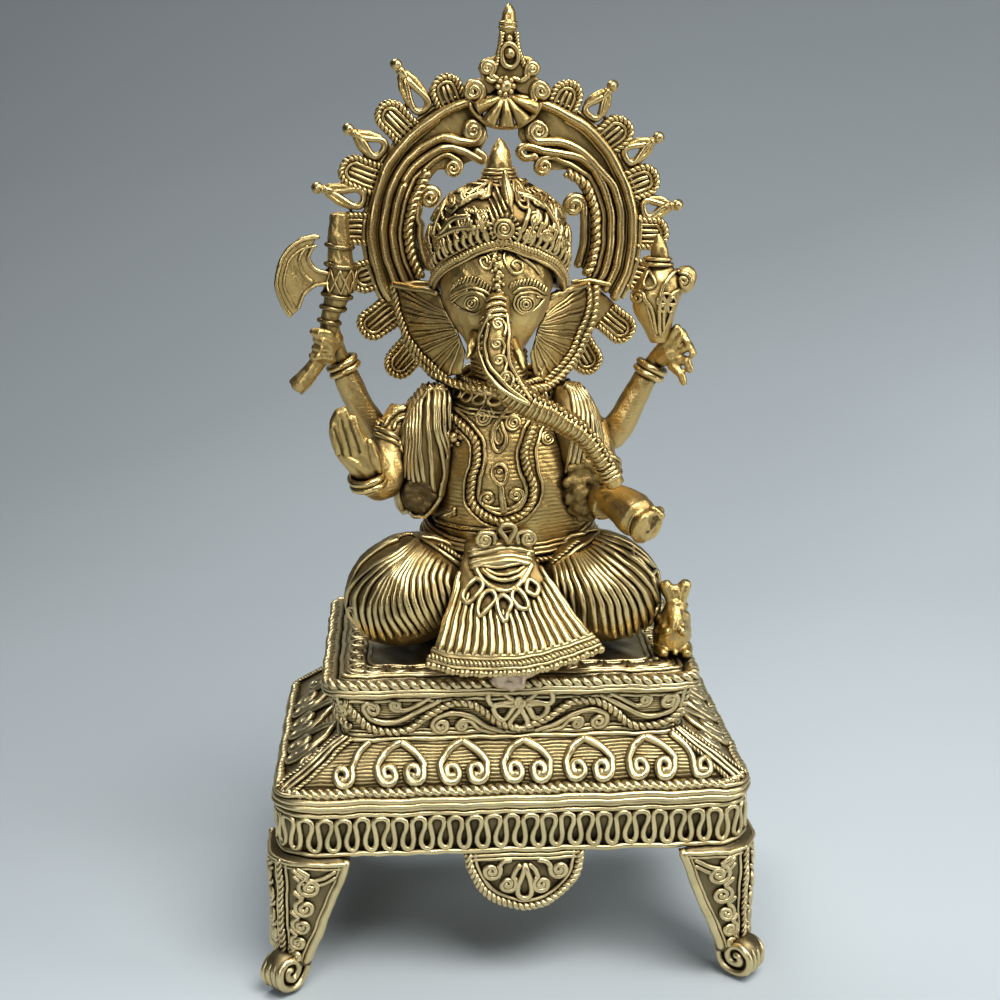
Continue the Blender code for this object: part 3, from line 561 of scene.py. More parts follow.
def brass(name, bright, patina_shade_colour, rough=0.30, threaded=0.0, pitch=0.9, grain=0.5, patina_and_shade=1.0):
    """Cast brass: bright on high places, dark patina and painted shade in crevices, a fine grain and cast-in
    threads.
    """
    made = bpy.data.materials.new(name)
    made.use_nodes = True
    tree = made.node_tree
    shader = tree.nodes["Principled BSDF"]
    shader.inputs["Metallic"].default_value = 1.0
    link = tree.links.new
    place = node(tree, "ShaderNodeTexCoord").outputs["Object"]

    # An ambient-occlusion mask darkens the colour in crevices and between pieces: patina, and painted shade
    # where light doesn't reach.
    crevice = node(tree, "ShaderNodeAmbientOcclusion", samples=6)
    crevice.inputs["Distance"].default_value = 4.6 * MM
    exposed = remap(tree, crevice.outputs["AO"], 0.30, 0.30 + 0.50 * patina_and_shade, 0.0, 1.0, "SMOOTHSTEP")
    blotch = noise(tree, place, 95.0, 5.0)
    unshaded_and_clean = reckon(tree, "MULTIPLY", exposed, remap(tree, blotch, 0.30, 0.62, 0.72, 1.0))
    # The base colour runs from the recess colour (patina with painted shade) to the bright colour.
    colour = node(tree, "ShaderNodeMix", data_type="RGBA")
    colour.inputs["A"].default_value = (*patina_shade_colour, 1.0)
    colour.inputs["B"].default_value = (*bright, 1.0)
    link(unshaded_and_clean, colour.inputs["Factor"])
    link(colour.outputs["Result"], shader.inputs["Base Color"])

    fine = noise(tree, place, 1500.0, 3.0)
    dull = remap(tree, unshaded_and_clean, 0.0, 1.0, rough + 0.26, rough)
    speckle = reckon(tree, "MULTIPLY_ADD", fine, 0.18, dull)
    link(reckon(tree, "SUBTRACT", speckle, 0.08), shader.inputs["Roughness"])

    pits = noise(tree, place, 420.0, 2.0)
    top = relief(tree, reckon(tree, "ADD", fine, pits), grain, 0.12 * MM)
    if threaded:
        split = node(tree, "ShaderNodeSeparateXYZ")
        link(place, split.inputs["Vector"])
        waver = reckon(tree, "MULTIPLY_ADD", blotch, 1.6 * MM, split.outputs["Z"])
        phase = reckon(tree, "MULTIPLY", waver, math.pi / (pitch * MM))
        wave = reckon(tree, "ABSOLUTE", reckon(tree, "SINE", phase))
        lines = relief(tree, wave, threaded, 0.35 * MM)
        link(top.outputs["Normal"], lines.inputs["Normal"])
        top = lines
    link(top.outputs["Normal"], shader.inputs["Normal"])
    return made


# SHADE and OLIVE are the recess colours that the ambient-occlusion mask lays into crevices: patina and
# painted shade.
GOLD, SHADE = (0.75, 0.52, 0.19), (0.050, 0.029, 0.007)
CLOTH = (0.78, 0.605, 0.285)
PALE, OLIVE = (0.85, 0.69, 0.37), (0.060, 0.040, 0.012)
body_brass = brass("body_brass", (0.70, 0.49, 0.18), SHADE, rough=0.29, grain=1.2, patina_and_shade=1.35)
ribbed_brass = brass("ribbed_brass", GOLD, SHADE, rough=0.30, threaded=0.24, pitch=1.3, grain=0.9, patina_and_shade=1.4)
arm_brass = brass("arm_brass", (0.66, 0.465, 0.18), SHADE, rough=0.31, threaded=0.12, pitch=1.1, grain=1.3,
                  patina_and_shade=1.4)
thread_brass = brass("thread_brass", (0.78, 0.57, 0.24), SHADE, rough=0.25, grain=0.4, patina_and_shade=1.2)
cloth_thread = brass("cloth_thread", CLOTH, SHADE, rough=0.28, grain=0.45, patina_and_shade=1.1)
throne_thread = brass("throne_thread", PALE, OLIVE, rough=0.30, grain=0.5, patina_and_shade=1.1)
throne_ground = brass("throne_ground", (0.60, 0.47, 0.23), OLIVE, rough=0.38, threaded=0.8, pitch=0.95)
rib_ground = brass("rib_ground", (0.28, 0.19, 0.07), (0.026, 0.016, 0.005), rough=0.42)
# Near-black metal laid into hollows and grooves: painted shade, with the patina that gathers there.
hollow_shade_and_patina = brass("hollow_shade_and_patina", (0.15, 0.10, 0.04), (0.015, 0.010, 0.005), rough=0.55, grain=1.6)
rough_metal = brass("rough_metal", (0.36, 0.25, 0.09), (0.020, 0.012, 0.004), rough=0.48, grain=2.0,
                    patina_and_shade=1.5)
dark_ground = brass("dark_ground", (0.26, 0.20, 0.10), (0.03, 0.022, 0.01), rough=0.46)
seat_brass = brass("seat_brass", (0.60, 0.51, 0.29), OLIVE, rough=0.36, grain=0.8)
braze_metal = brass("braze_metal", (0.78, 0.62, 0.44), (0.20, 0.14, 0.09), rough=0.46, grain=0.9, patina_and_shade=0.8)


# ---------------------------------------------------------------- throne

CORNER = 12.0
apron_low, apron_high = extent("apron_band")
rim_low, rim_high = extent("rim_moulding")
tier_low, tier_high = extent("lower_tier")
neck_low, neck_high = extent("upper_neck")
TIER_TOP = (53.5, 39.0)


def wall(name, low, high, radius, thick, material, node_name):
    """A rounded frame with a thick wall, open above and below."""
    clay = Clay()
    loops = []
    for (half_x, half_y, z), inset in ((low, 0.0), (high, 0.0), (high, thick), (low, thick)):
        loops.append(round_corners(half_x - inset, half_y - inset, max(radius - inset, 1.0), z))
    clay.loft(loops, closed_up=True)
    threads(name, clay, material, node_name)


def apron():
    """The upright band of the throne, with one thread looped all the way round it."""
    half_x, half_y = apron_high[0], apron_high[1]
    low_z, high_z = apron_low[2], apron_high[2]
    wall("apron_ground", (half_x - 1.3, half_y - 1.3, low_z + 0.3), (half_x - 1.3, half_y - 1.3, high_z),
         CORNER - 1.3, 2.0, dark_ground, "apron_band")
    face = Storey((half_x, half_y, low_z), (half_x, half_y, high_z), CORNER, inset=1.3)
    clay = Clay()
    height = face.height
    for v, r in ((0.85, 0.95), (height - 1.0, 0.95), (height - 2.9, 0.85)):
        clay.bar(face(face.level(v), 0.45), r, 8, closed=True)
    gap, per_loop = 5.7, 18
    count = int(face.length / gap) * per_loop
    loops = np.arange(count) / per_loop
    t = loops * TAU
    u = np.arange(count) / count * face.length
    low_v, high_v = 2.1, height - 4.1
    uneven = 1 + 0.10 * np.sin(loops * 2.3) + 0.06 * np.sin(loops * 5.1)
    swing = (high_v - low_v) / 2
    v = (low_v + high_v) / 2 + swing * np.sin(t) * (0.94 + 0.06 * uneven)
    u = u - 1.55 * uneven * np.sin(2 * t) * (0.74 + 0.26 * np.sin(t))
    clay.bar(face(np.column_stack([u, v]), 0.6), 0.92, 8, closed=True)
    threads("apron_threads", clay, throne_thread)


def rim():
    half_x, half_y = rim_high[0], rim_high[1]
    wall("rim_ground", (half_x - 1.2, half_y - 1.2, rim_low[2] - 0.3),
         (half_x - 2.0, half_y - 2.0, rim_high[2] + 0.2), CORNER - 1.2, 4.0, throne_thread, "rim_moulding")
    clay = Clay()
    for inset, z, r in ((0.8, rim_low[2] - 0.2, 0.8), (1.3, rim_low[2] + 1.35, 1.1)):
        clay.bar(round_corners(half_x - inset, half_y - inset, CORNER - inset, z), r, 8, closed=True)
    path = round_corners(half_x - 2.9, half_y - 2.9, CORNER - 2.9, rim_high[2] + 0.1)
    clay.rope(path, 1.9, pitch=5.2, closed=True)
    path = round_corners(half_x - 5.4, half_y - 5.4, CORNER - 5.4, rim_high[2] + 0.9)
    clay.bar(path, 0.7, closed=True)
    threads("rim_threads", clay, throne_thread)


def plumb(flat, middle):
    """Keeps a row of figures upright on a face that narrows upwards."""
    share_at_foot, gain = 0.79, 0.0185
    flat = np.array(flat, float)
    flat[:, 0] = middle + (flat[:, 0] - middle) * (share_at_foot + gain * flat[:, 1])
    return flat


def heart(clay, face, middle, shift, v, height, radius, wire):
    """Two spirals joined in a point at the top."""
    turns, tall = 1.4, 1.22
    top, centre_v, centre_u = v + height, v + (radius + wire) * tall, radius + wire * 0.6
    for side in (-1, 1):
        spiral = curl(0, 0, radius, 15, turns, -1, inner=0.28)
        spiral[:, 0] += centre_u
        spiral[:, 1] = spiral[:, 1] * tall + centre_v
        stops = [(0.3, top), (2.6, top - 1.3), (5.0, top - 3.2), (6.9, top - 5.9), (7.5, centre_v + 2.4)]
        path = lead_in(stops, spiral, 5)
        path[:, 0] = middle + shift + side * path[:, 0]
        clay.bar(face(plumb(path, middle), wire * 0.5), wire, 8)


def tier():
    """The sloping storey, with a row of hearts on each face and ropes up its corners."""
    low, high = (tier_high[0], tier_high[1], tier_low[2] - 0.2), (*TIER_TOP, tier_high[2])
    wall("tier_ground", (low[0] - 0.6, low[1] - 0.6, low[2]), (high[0] - 0.6, high[1] - 0.6, high[2]), 7.0,
         2.2, throne_ground, "lower_tier")
    face = Storey(low, high, 7.2, inset=0.6)
    clay = Clay()
    height = face.height
    clay.bar(face(face.level(height - 0.9), 0.4), 0.85, closed=True)
    clay.bar(face(face.level(-0.4), 0.3), 0.65, closed=True)
    front, right, back, left = face.middles()
    for middle in (front, back):
        for k in range(-2, 3):
            heart(clay, face, middle, 1.0 + k * 20.4, 0.3, 15.4, 3.35, 1.3)
        for side in (-1, 1):
            spiral = curl(0, 0, 3.4, 160, 1.4, inner=0.28) * (side, 1.2)
            spiral += (middle + side * 58.6, 5.6)
            stops = [(middle + side * 50.6, 16.0), (middle + side * 53.4, 12.6), (middle + side * 54.8, 9.4)]
            clay.bar(face(plumb(lead_in(stops, spiral, 6), middle), 0.6), 1.15, 8)
    for middle in (right, left):
        for k in range(-1, 2):
            heart(clay, face, middle, k * 20.4, 0.4, 15.4, 3.3, 1.15)
        for side in (-1, 1):
            spiral = curl(0, 0, 3.4, 62, 1.5, -1, inner=0.28)
            spiral[:, 0] *= side
            spiral += (middle + side * 32.5, 9.0)
            clay.bar(face(spiral, 0.5), 1.05)
    for sx, sy in CORNERS:
        foot = vec(sx * (low[0] - 3.0), sy * (low[1] - 3.0), low[2] + 0.8)
        top = vec(sx * (high[0] - 1.6), sy * (high[1] - 1.6), high[2] + 0.2)
        out = vec(-sy * 0.8, sx * 0.8, 0.0)
        for way in (-1.0, 1.0):
            clay.bar(smooth([foot + out * way, (foot + top) / 2 + out * way + vec(0, 0, 0.3),
                             top + out * way * 0.6]), 0.8)
        for way in (1.0, -1.0):
            clay.rope(smooth([foot + way * out * 3.4, top + way * out * 2.4], 10), 0.7, pitch=2.6)
    threads("tier_threads", clay, throne_thread)


# Stops of the neck's wavy rope and of its curls, as distance from the middle and height. A curl's row ends
# with its middle, radius, start angle, hand and wire.
NECK_WAVE = ((-0.4, 81.8), (6.8, 84.4), (11.8, 88.3), (16.7, 91.4), (23.0, 91.0), (29.0, 87.4),
             (34.0, 83.2), (40.4, 81.6), (47.2, 83.5), (51.0, 87.8), (53.2, 93.2))
NECK_CURLS = ((((24.5, 93.0), (32.5, 88.2), (40.4, 85.0), (46.4, 86.6)), 45.6, 90.2, 2.8, 330, 1, 1.0),
              (((27.5, 93.6), (31.8, 90.8), (35.6, 89.2)), 38.2, 91.0, 2.0, 230, 1, 0.9),
              (((4.9, 80.6), (11.3, 83.2), (16.2, 86.6), (21.6, 88.0), (26.2, 86.6)),
               25.0, 83.6, 2.8, 30, -1, 1.0),
              (((7.4, 80.4), (12.8, 81.6), (15.4, 84.6)), 18.2, 83.4, 2.0, 120, -1, 0.9))


def neck():
    """The storey under the seat, which widens upwards: a wavy rope with curls, round a rosette."""
    half_x, half_y = neck_high[0] - 3.0, neck_high[1] - 2.2
    low, high = (half_x, half_y, neck_low[2] - 0.2), (neck_high[0], neck_high[1], neck_high[2] + 0.2)
    wall("neck_ground", (low[0] - 0.8, low[1] - 0.8, low[2]), (high[0] - 0.8, high[1] - 0.8, high[2]), 5.2,
         2.2, throne_ground, "upper_neck")
    face = Storey(low, high, 5.4, inset=0.8)
    clay = Clay()
    height = face.height
    for v, r in ((0.8, 0.9), (2.3, 0.5), (height - 0.9, 0.8), (height - 2.4, 0.7)):
        clay.bar(face(face.level(v), 0.3), r, closed=True)
    front, right, back, left = face.middles()
    for middle in (front, back):
        for side in (-1, 1):
            def half(rows):
                return [(middle + side * x, z - neck_low[2]) for x, z in rows]

            clay.rope(face(smooth(half(NECK_WAVE)), 0.6), 1.5, pitch=4.4)
            for stops, u, v, r, start, hand, wire in NECK_CURLS:
                spiral = curl(u, v, r, start, 1.5, hand, inner=0.25)
                clay.bar(face(half(lead_in(stops, spiral, 6)), 0.5), wire)
        clay.bar(face(curl(middle - 0.2, 11.4, 1.9, 90, 1.7), 1.1), 0.85)
        for turn, long in ((-196, 8.4), (-152, 7.2), (-92, 7.6), (-30, 7.2), (14, 8.4)):
            a = math.radians(turn)
            drop = teardrop(middle - 0.2 + 1.6 * math.cos(a), 11.4 + 1.6 * math.sin(a), long, 5.2, turn)
            clay.bar(face(drop, 0.8), 1.05, closed=True)
    for middle in (right, left):
        for side in (-1, 1):
            stops = [(middle + side * x, v) for x, v in ((1.0, 10.6), (6.0, 5.0), (12.0, 3.4), (18.0, 7.5),
                                                         (24.0, 10.8), (30.0, 7.0), (34.5, 3.6))]
            clay.rope(face(smooth(stops), 0.7), 1.4, pitch=4.2)
            for u, v, r, start, hand in ((10.0, 9.0, 2.8, 200, 1), (16.6, 11.0, 1.8, 200, 1),
                                         (21.6, 4.8, 2.6, 40, -1), (32.4, 9.6, 2.6, 200, 1)):
                spiral = curl(0, 0, r, start, 1.7, hand)
                spiral[:, 0] *= side
                clay.bar(face(spiral + (middle + side * u, v), 0.5), 0.9)
    for sx, sy in CORNERS:
        low_end = vec(sx * (low[0] - 2.0), sy * (low[1] - 2.0), low[2] + 1.0)
        high_end = vec(sx * (high[0] - 2.2), sy * (high[1] - 2.2), high[2] - 1.0)
        clay.bar(smooth([low_end, high_end], 6), 0.9)
    threads("neck_threads", clay, throne_thread)


def seat():
    edge_low, edge_high = extent("seat_rope_border")
    body("seat_top", "seat_slab", seat_brass, voxel=0.9, rounds=3, swell=0.25)
    radius = (edge_high[2] - edge_low[2]) / 2
    half_x, half_y = edge_high[0] - radius, edge_high[1] - radius
    clay = Clay()
    clay.bar(round_corners(half_x - 0.8, half_y - 0.8, 5.0, edge_low[2] + radius - 0.3), radius - 0.5, 9,
             closed=True)
    clay.rope(round_corners(half_x + 0.6, half_y + 0.6, 6.0, edge_low[2] + radius + 0.6), 1.95, pitch=6.2,
              closed=True)
    for dz in (-1.7, -0.5):
        clay.bar(round_corners(half_x + 1.75, half_y + 1.75, 6.8, edge_low[2] + radius + dz - 0.4), 0.62,
                 closed=True)
    threads("seat_edge", clay, throne_thread, "seat_rope_border")
    clay = Clay()
    top = extent("seat_slab")[1][2]
    for inset, r in ((3.6, 0.75), (5.4, 0.6), (10.6, 0.6), (12.2, 0.75)):
        clay.bar(round_corners(half_x - inset, half_y - inset, 3.5, top + 0.35), r, closed=True)
    lane = Storey((half_x - 8.0, half_y - 8.0, top), (half_x - 8.0, half_y - 8.0, top + 1), 2.5)
    count = int(lane.length / 7.4)
    for k in range(count):
        middle = lane(np.array([[k * lane.length / count, 0.4]]))[0]
        ahead = lane(np.array([[k * lane.length / count + 0.5, 0.4]]))[0]
        along = unit(ahead - middle)
        side = vec(along[1], -along[0], 0)
        turn = np.linspace(-0.35, math.pi + 0.35, 12)[:, None]
        loop = middle - side * 1.3 + along * 3.1 * np.cos(turn) + side * 3.4 * np.sin(turn)
        clay.bar(loop, 0.95)
        clay.bar(middle - side * 1.0 + along * 1.3 * np.cos(turn) + side * 1.4 * np.sin(turn), 0.6, 6)
    threads("seat_border_threads", clay, throne_thread)


LEG_OUTSET, LEG_PLATE = 2.6, 3.0
LEG_SPREAD = np.array(((11.0, 8.0), (18.0, 10.5), (28.0, 14.5), (38.0, 18.5), (45.1, 21.0)))
FOOT_R = 8.0
FOOT_AT = (72.6, 50.6)


def spread_at(z):
    """Half the width of a leg's plate at a height."""
    return np.interp(z, LEG_SPREAD[:, 0], LEG_SPREAD[:, 1])


def leg_face(sx, sy, inset=0.0):
    """Drawing on a leg in (s, z): s runs round the throne's corner from its middle."""
    half_x, half_y = apron_high[0], apron_high[1]
    bend = CORNER * math.pi / 4

    def place(flat, lift=0.0):
        out = []
        for s, z in np.asarray(flat, float):
            held = max(-bend, min(bend, s))
            turn = held / CORNER + math.pi / 4
            reach = CORNER + LEG_OUTSET - inset + lift
            x = half_x - CORNER + reach * math.cos(turn)
            y = half_y - CORNER + reach * math.sin(turn)
            if s > held:
                x -= s - held
            else:
                y += s - held
            out.append((sx * x, sy * y, z))
        return np.array(out)
    return place


def leg(name, sx, sy):
    top = extent(name)[1][2]
    clay = Clay()
    loops = []
    across = 26
    for z in np.linspace(top - 0.1, 9.5, 16):
        spread = float(spread_at(z))
        s = np.linspace(-spread, spread, across)
        outer = leg_face(sx, sy, 1.0)(np.column_stack([s, np.full(across, z)]))
        inner = leg_face(sx, sy, LEG_PLATE)(np.column_stack([s[::-1], np.full(across, z)]))
        loops.append(np.vstack([outer, inner]) if sx * sy > 0 else np.vstack([outer, inner])[::-1])
    clay.loft(loops)
    threads(name + "_ground", clay, dark_ground, name)
    face = leg_face(sx, sy, 1.0)
    clay = Clay()
    z = np.linspace(top - 0.6, 11.5, 30)
    spread = spread_at(z)
    for side in (-1, 1):
        clay.bar(face(np.column_stack([side * (spread - 1.0), z]), 0.1), 1.35, 8)
        clay.bar(face(np.column_stack([side * (spread - 2.7), z]), 0.1), 0.6)
        clay.bar(face(np.column_stack([side * 1.9 + 0 * z, z]), 0.3), 0.55)
        for height, r in ((36.6, 3.5), (29.6, 3.1), (23.3, 2.75), (17.6, 2.4), (13.0, 1.9)):
            middle = side * (1.9 + (float(spread_at(height)) - 2.5)) / 2
            r = min(r, (abs(float(spread_at(height))) - 4.4) / 2 + 0.5)
            spiral = curl(0, 0, r, 95, 1.75)
            lead = [(-r * 0.9, r * 1.75), (-r * 0.35, r * 1.25)]
            path = lead_in(lead, spiral, 5)
            path[:, 0] *= side
            clay.bar(face(path + (middle, height), 0.5), 0.88)
        edge = float(spread_at(40)) - 3.2
        fan = [(side * 4.2, top - 3.0), (side * 9.0, top - 6.4), (side * edge, top - 3.2)]
        clay.bar(face(smooth(fan, 6), 0.4), 0.8)
        clay.bar(face(smooth([(x, v - 2.0) for x, v in fan], 6), 0.4), 0.7)
    bend = np.linspace(-float(spread_at(44)) + 0.6, float(spread_at(44)) - 0.6, 60)
    clay.bar(face(np.column_stack([bend, 0 * bend + top - 0.8]), 0.5), 0.85)
    clay.bar(face(np.column_stack([bend, 0 * bend + top - 2.4]), 0.3), 0.5)
    clay.rope(face(np.column_stack([0 * z, z]), 0.7), 1.15, pitch=4.0)
    out = unit(vec(sx, sy, 0))
    across = unit(vec(sx, -sy, 0))
    corner = leg_face(sx, sy, 1.6)(np.array([[0.0, 16.0]]))[0]
    flat = curl(0, 0, FOOT_R - 1.3, 180, 1.75, inner=0.12, per_turn=26)
    foot = vec(sx * FOOT_AT[0], sy * FOOT_AT[1], 0)
    centre_out = float(foot @ out)
    lead = [(float(corner @ out) - centre_out - 0.4, 22.0), (-FOOT_R + 0.6, 15.0)]
    base = foot - out * centre_out

    def beside(profile, offset):
        return base + out * (profile[:, :1] + centre_out) + UP * profile[:, 1:2] + across * offset

    profile = lead_in(lead, flat + (0, FOOT_R), 8)
    for offset, r in ((-3.45, 1.25), (-1.15, 1.2), (1.15, 1.2), (3.45, 1.25)):
        clay.bar(beside(profile, offset), r, 8)
    threads(name + "_threads", clay, throne_thread)
    clay = Clay()
    drum = ring(0, FOOT_R + 0.2, FOOT_R - 2.6, FOOT_R - 2.6, 24)
    clay.loft([beside(drum, offset) for offset in (-3.2, 3.2)])
    threads(name + "_scroll_core", clay, dark_ground)


def pendant():
    low, high = extent("front_pendant")
    middle, half, drop = (low[0] + high[0]) / 2, (high[0] - low[0]) / 2, high[2] - low[2]
    clay = Clay()
    turn = np.linspace(0, math.pi, 30)
    edge = np.column_stack([(half - 1.6) * np.cos(turn), -(drop - 1.6) * np.sin(turn)])
    sheet = flat_face((middle, low[1] + 1.1, high[2]), (1, 0, 0), (0, 0, 1))
    loop = np.vstack([edge, [(-half + 1.6, 0.3), (half - 1.6, 0.3)]])
    clay.loft([sheet(loop, 0.0), sheet(loop, -1.6)])
    threads("pendant_ground", clay, dark_ground, "front_pendant")
    clay = Clay()
    turn = np.linspace(0.02, math.pi - 0.02, 40)
    clay.rope(sheet(np.column_stack([(half - 1.2) * np.cos(turn), -(drop - 1.2) * np.sin(turn)]), 0.1), 1.5,
              pitch=3.8)
    clay.bar(sheet(np.column_stack([(half - 3.3) * np.cos(turn), -(drop - 3.3) * np.sin(turn)]), 0.4), 0.6)
    for v in (-0.6, -2.0):
        clay.bar(sheet([(x, v) for x in np.linspace(-half + 2.4, half - 2.4, 12)], 0.4), 0.6)
    for side in (-1, 1):
        for u, v, r, start, lead in ((10.6, -6.0, 3.0, 150, (4.6, -2.6)),
                                     (5.4, -10.8, 2.9, 120, (1.6, -4.2))):
            spiral = curl(0, 0, r, start, 1.7)
            path = spiral + (u, v)
            halfway = (lead[0] * 0.4 + path[0][0] * 0.6, lead[1] * 0.4 + path[0][1] * 0.6 + 0.8)
            path = lead_in((lead, halfway), path, 6)
            path[:, 0] *= side
            clay.bar(sheet(path, 0.6), 0.92)
    clay.bar(sheet(teardrop(0, -3.4, drop - 7.6, 4.0), 0.6), 0.95, closed=True)
    threads("pendant_threads", clay, throne_thread)


apron()
rim()
tier()
neck()
seat()
for leg_name, leg_sx, leg_sy in (("leg_front_left", -1, -1), ("leg_front_right", 1, -1),
                                 ("leg_back_left", -1, 1), ("leg_back_right", 1, 1)):
    leg(leg_name, leg_sx, leg_sy)
pendant()


# ---------------------------------------------------------------- halo

HALO_X, HALO_Z, HALO_Y = 0.7, 229.5, 15.0
PLATE_FRONT = 16.8
RAY_W = 10.4
RAYS = {-1: ((21.7, 52.6), (44.0, 55.4), (67.4, 55.8), (88.0, 54.0), (107.0, 52.0), (124.6, 56.4),
             (141.4, 59.0)),
        1: ((25.7, 52.1), (49.1, 53.3), (70.6, 53.3), (91.0, 54.0), (108.0, 53.0), (129.0, 54.5),
            (146.4, 55.1))}
EYELETS = {-1: ((32.6, 61.7), (56.2, 58.5), (76.4, 60.5)), 1: ((37.4, 57.3), (59.4, 57.6), (81.4, 56.9))}


def upright(y):
    """Drawing in (x, z) on an upright pane at y, seen from the front."""
    def place(flat, lift=0.0):
        flat = np.asarray(flat, float)
        return np.column_stack([flat[:, 0], np.full(len(flat), y - lift), flat[:, 1]])
    return place


def level_ring(x, y, z, radius, sides):
    return [(x + radius * math.cos(t), y + radius * math.sin(t), z) for t in circle(sides)]


def halo_arc(side, radius, start, end):
    """Points of a circle about the halo's middle, in degrees from the top."""
    count = max(2, int(abs(end - start) / 3.0))
    a = np.radians(np.linspace(start, end, count))
    return [(HALO_X + side * radius * math.sin(t), HALO_Z + radius * math.cos(t)) for t in a]


BANDS = {1: (((33.8, 246.9), (27.8, 252.9), (20.9, 257.4), (15.6, 258.0)), (11.7, 261.2, 3.2, 255, -1),
             ((30.0, 249.2), (24.1, 253.3), (15.4, 254.9), (8.6, 256.2), (5.9, 254.9), (7.6, 252.6),
              (10.9, 253.3)),
             ((22.5, 250.7), (16.6, 253.1)), (13.8, 250.2, 2.8, 80, 1), ((21.5, 248.3), (17.8, 250.7)),
             ((26.6, 233.7),), (23.4, 237.9, 3.4, -15, 1)),
         -1: (((-30.0, 251.7), (-24.7, 256.6), (-18.4, 259.2), (-12.7, 258.0), (-9.6, 257.6)),
              (-8.8, 261.3, 3.4, 285, 1), ((-30.7, 245.5), (-25.8, 251.8), (-20.0, 255.4), (-15.3, 256.0),
                                           (-10.6, 254.3), (-5.9, 252.2), (-5.6, 253.8), (-7.6, 255.2)),
              ((-21.1, 252.3), (-16.9, 253.9)), (-14.9, 249.9, 2.7, 65, -1),
              ((-23.3, 248.9), (-18.0, 251.6)), ((-26.7, 234.1),), (-22.6, 240.9, 3.4, 195, -1))}


def halo_bands(side):
    """The concentric threads of one half of the halo, and the curls they end in."""
    pane = upright(HALO_Y)
    upper, upper_curl, hook, third, third_curl, rope_end, inner, inner_curl = BANDS[side]

    def ending(stops, u, v, r, start, hand):
        return lead_in(stops, curl(u, v, r, start, 1.65, hand, inner=0.24), 5)

    clay = Clay()
    path = np.vstack([halo_arc(side, 38.2, 119, 64), ending(upper, *upper_curl)])
    clay.bar(pane(smooth(path[::2], 2), -0.5), 1.5, 9)
    path = np.vstack([halo_arc(side, 35.1, 119, 62), smooth(hook, 5)])
    clay.bar(pane(path, -0.6), 1.4, 9)
    path = np.vstack([halo_arc(side, 32.7, 119, 58), ending(third, *third_curl)])
    clay.bar(pane(path, -1.0), 1.0, 8)
    clay.bar(pane(halo_arc(side, 40.2, 119, 30), -1.3), 0.8)
    path = np.vstack([halo_arc(side, 26.3, 114, 84), ending(inner, *inner_curl)])
    clay.bar(pane(path, -0.6), 1.35, 9)
    for radius, start, end, lift, r, sides in ((28.3, 114, 66, -1.4, 0.7, 7), (44.4, 118, 84, -1.4, 0.95, 8),
                                               (44.4, 78, 56, -1.9, 0.7, 7), (44.4, 48, 18, -1.9, 0.7, 7)):
        clay.bar(pane(halo_arc(side, radius, start, end), lift), r, sides)
    clay.bar(pane([(HALO_X + side * x, z) for x, z in ((34.5, 212.6), (28.0, 214.0), (22.6, 213.6))], 0.8),
             0.9)
    label = LABEL[side]
    threads("halo_bands_" + label, clay, thread_brass, "halo_scroll_" + label)
    clay = Clay()
    rope = np.vstack([halo_arc(side, 30.1, 117, 57), rope_end])
    clay.rope(pane(smooth(rope[::2], 3), 0.0), 1.75, pitch=4.4)
    threads("halo_rope_threads_" + label, clay, thread_brass, "halo_rope_" + label)


def ray(clay, side, angle, reach):
    a = math.radians(angle)
    out = vec(side * math.sin(a), math.cos(a))
    across = vec(-out[1], out[0])
    centre = vec(HALO_X, HALO_Z)

    def place(rows, lift):
        rows = np.asarray(rows, float)
        return upright(PLATE_FRONT)(centre + rows[:, :1] * out + rows[:, 1:2] * across, lift)

    half = RAY_W / 2
    root = 43.4

    def tongue(inset):
        bend = np.linspace(-math.pi / 2, math.pi / 2, 11)
        w = half - inset
        tip = [(reach - half + w * math.cos(t), w * math.sin(t)) for t in bend]
        halfway = (root + reach - half) / 2
        return smooth([(root, -w), (halfway, -w), *tip, (halfway, w), (root, w)], 3)

    clay.rope(place(tongue(0.9), 0.5), 1.15, pitch=3.1)
    clay.bar(place(tongue(2.5), 0.35), 0.68, 6)
    for v in (-0.85, 0.85):
        clay.bar(place([(root, v), (root + 3, v), (reach - 3.9, v * 0.8)], 0.4), 0.72, 6)


def halo_side(side):
    label = LABEL[side]
    body("halo_backing_" + label, "halo_plate_" + label, body_brass, voxel=0.5, rounds=3, swell=0.1)
    clay = Clay()
    for angle, reach in RAYS[side]:
        ray(clay, side, angle, reach)
    for angle, reach in EYELETS[side]:
        a = math.radians(angle)
        out, across = vec(side * math.sin(a), 0, math.cos(a)), vec(math.cos(a), 0, -side * math.sin(a))
        centre = vec(HALO_X, PLATE_FRONT - 0.4, HALO_Z)
        t = np.linspace(0, 1, 26)
        long = reach - 2.6 - 45.6
        loop = [centre + out * (reach - 2.6 - long * math.sin(math.pi * k) ** 0.8)
                + across * 3.1 * math.sin(TAU * k) * math.sin(math.pi * k) ** 0.5 for k in t]
        clay.bar(np.array(loop[1:-1]), 1.12, 8)
        clay.bar([centre + out * (reach - 4.2), centre + out * (reach - 1.0)], 1.35, 8)
        clay.bead(centre + out * reach, 2.0)
        clay.bead(centre + out * (reach - 2.2), 1.6, 0.5, out)
    threads("halo_rays_" + label, clay, thread_brass)


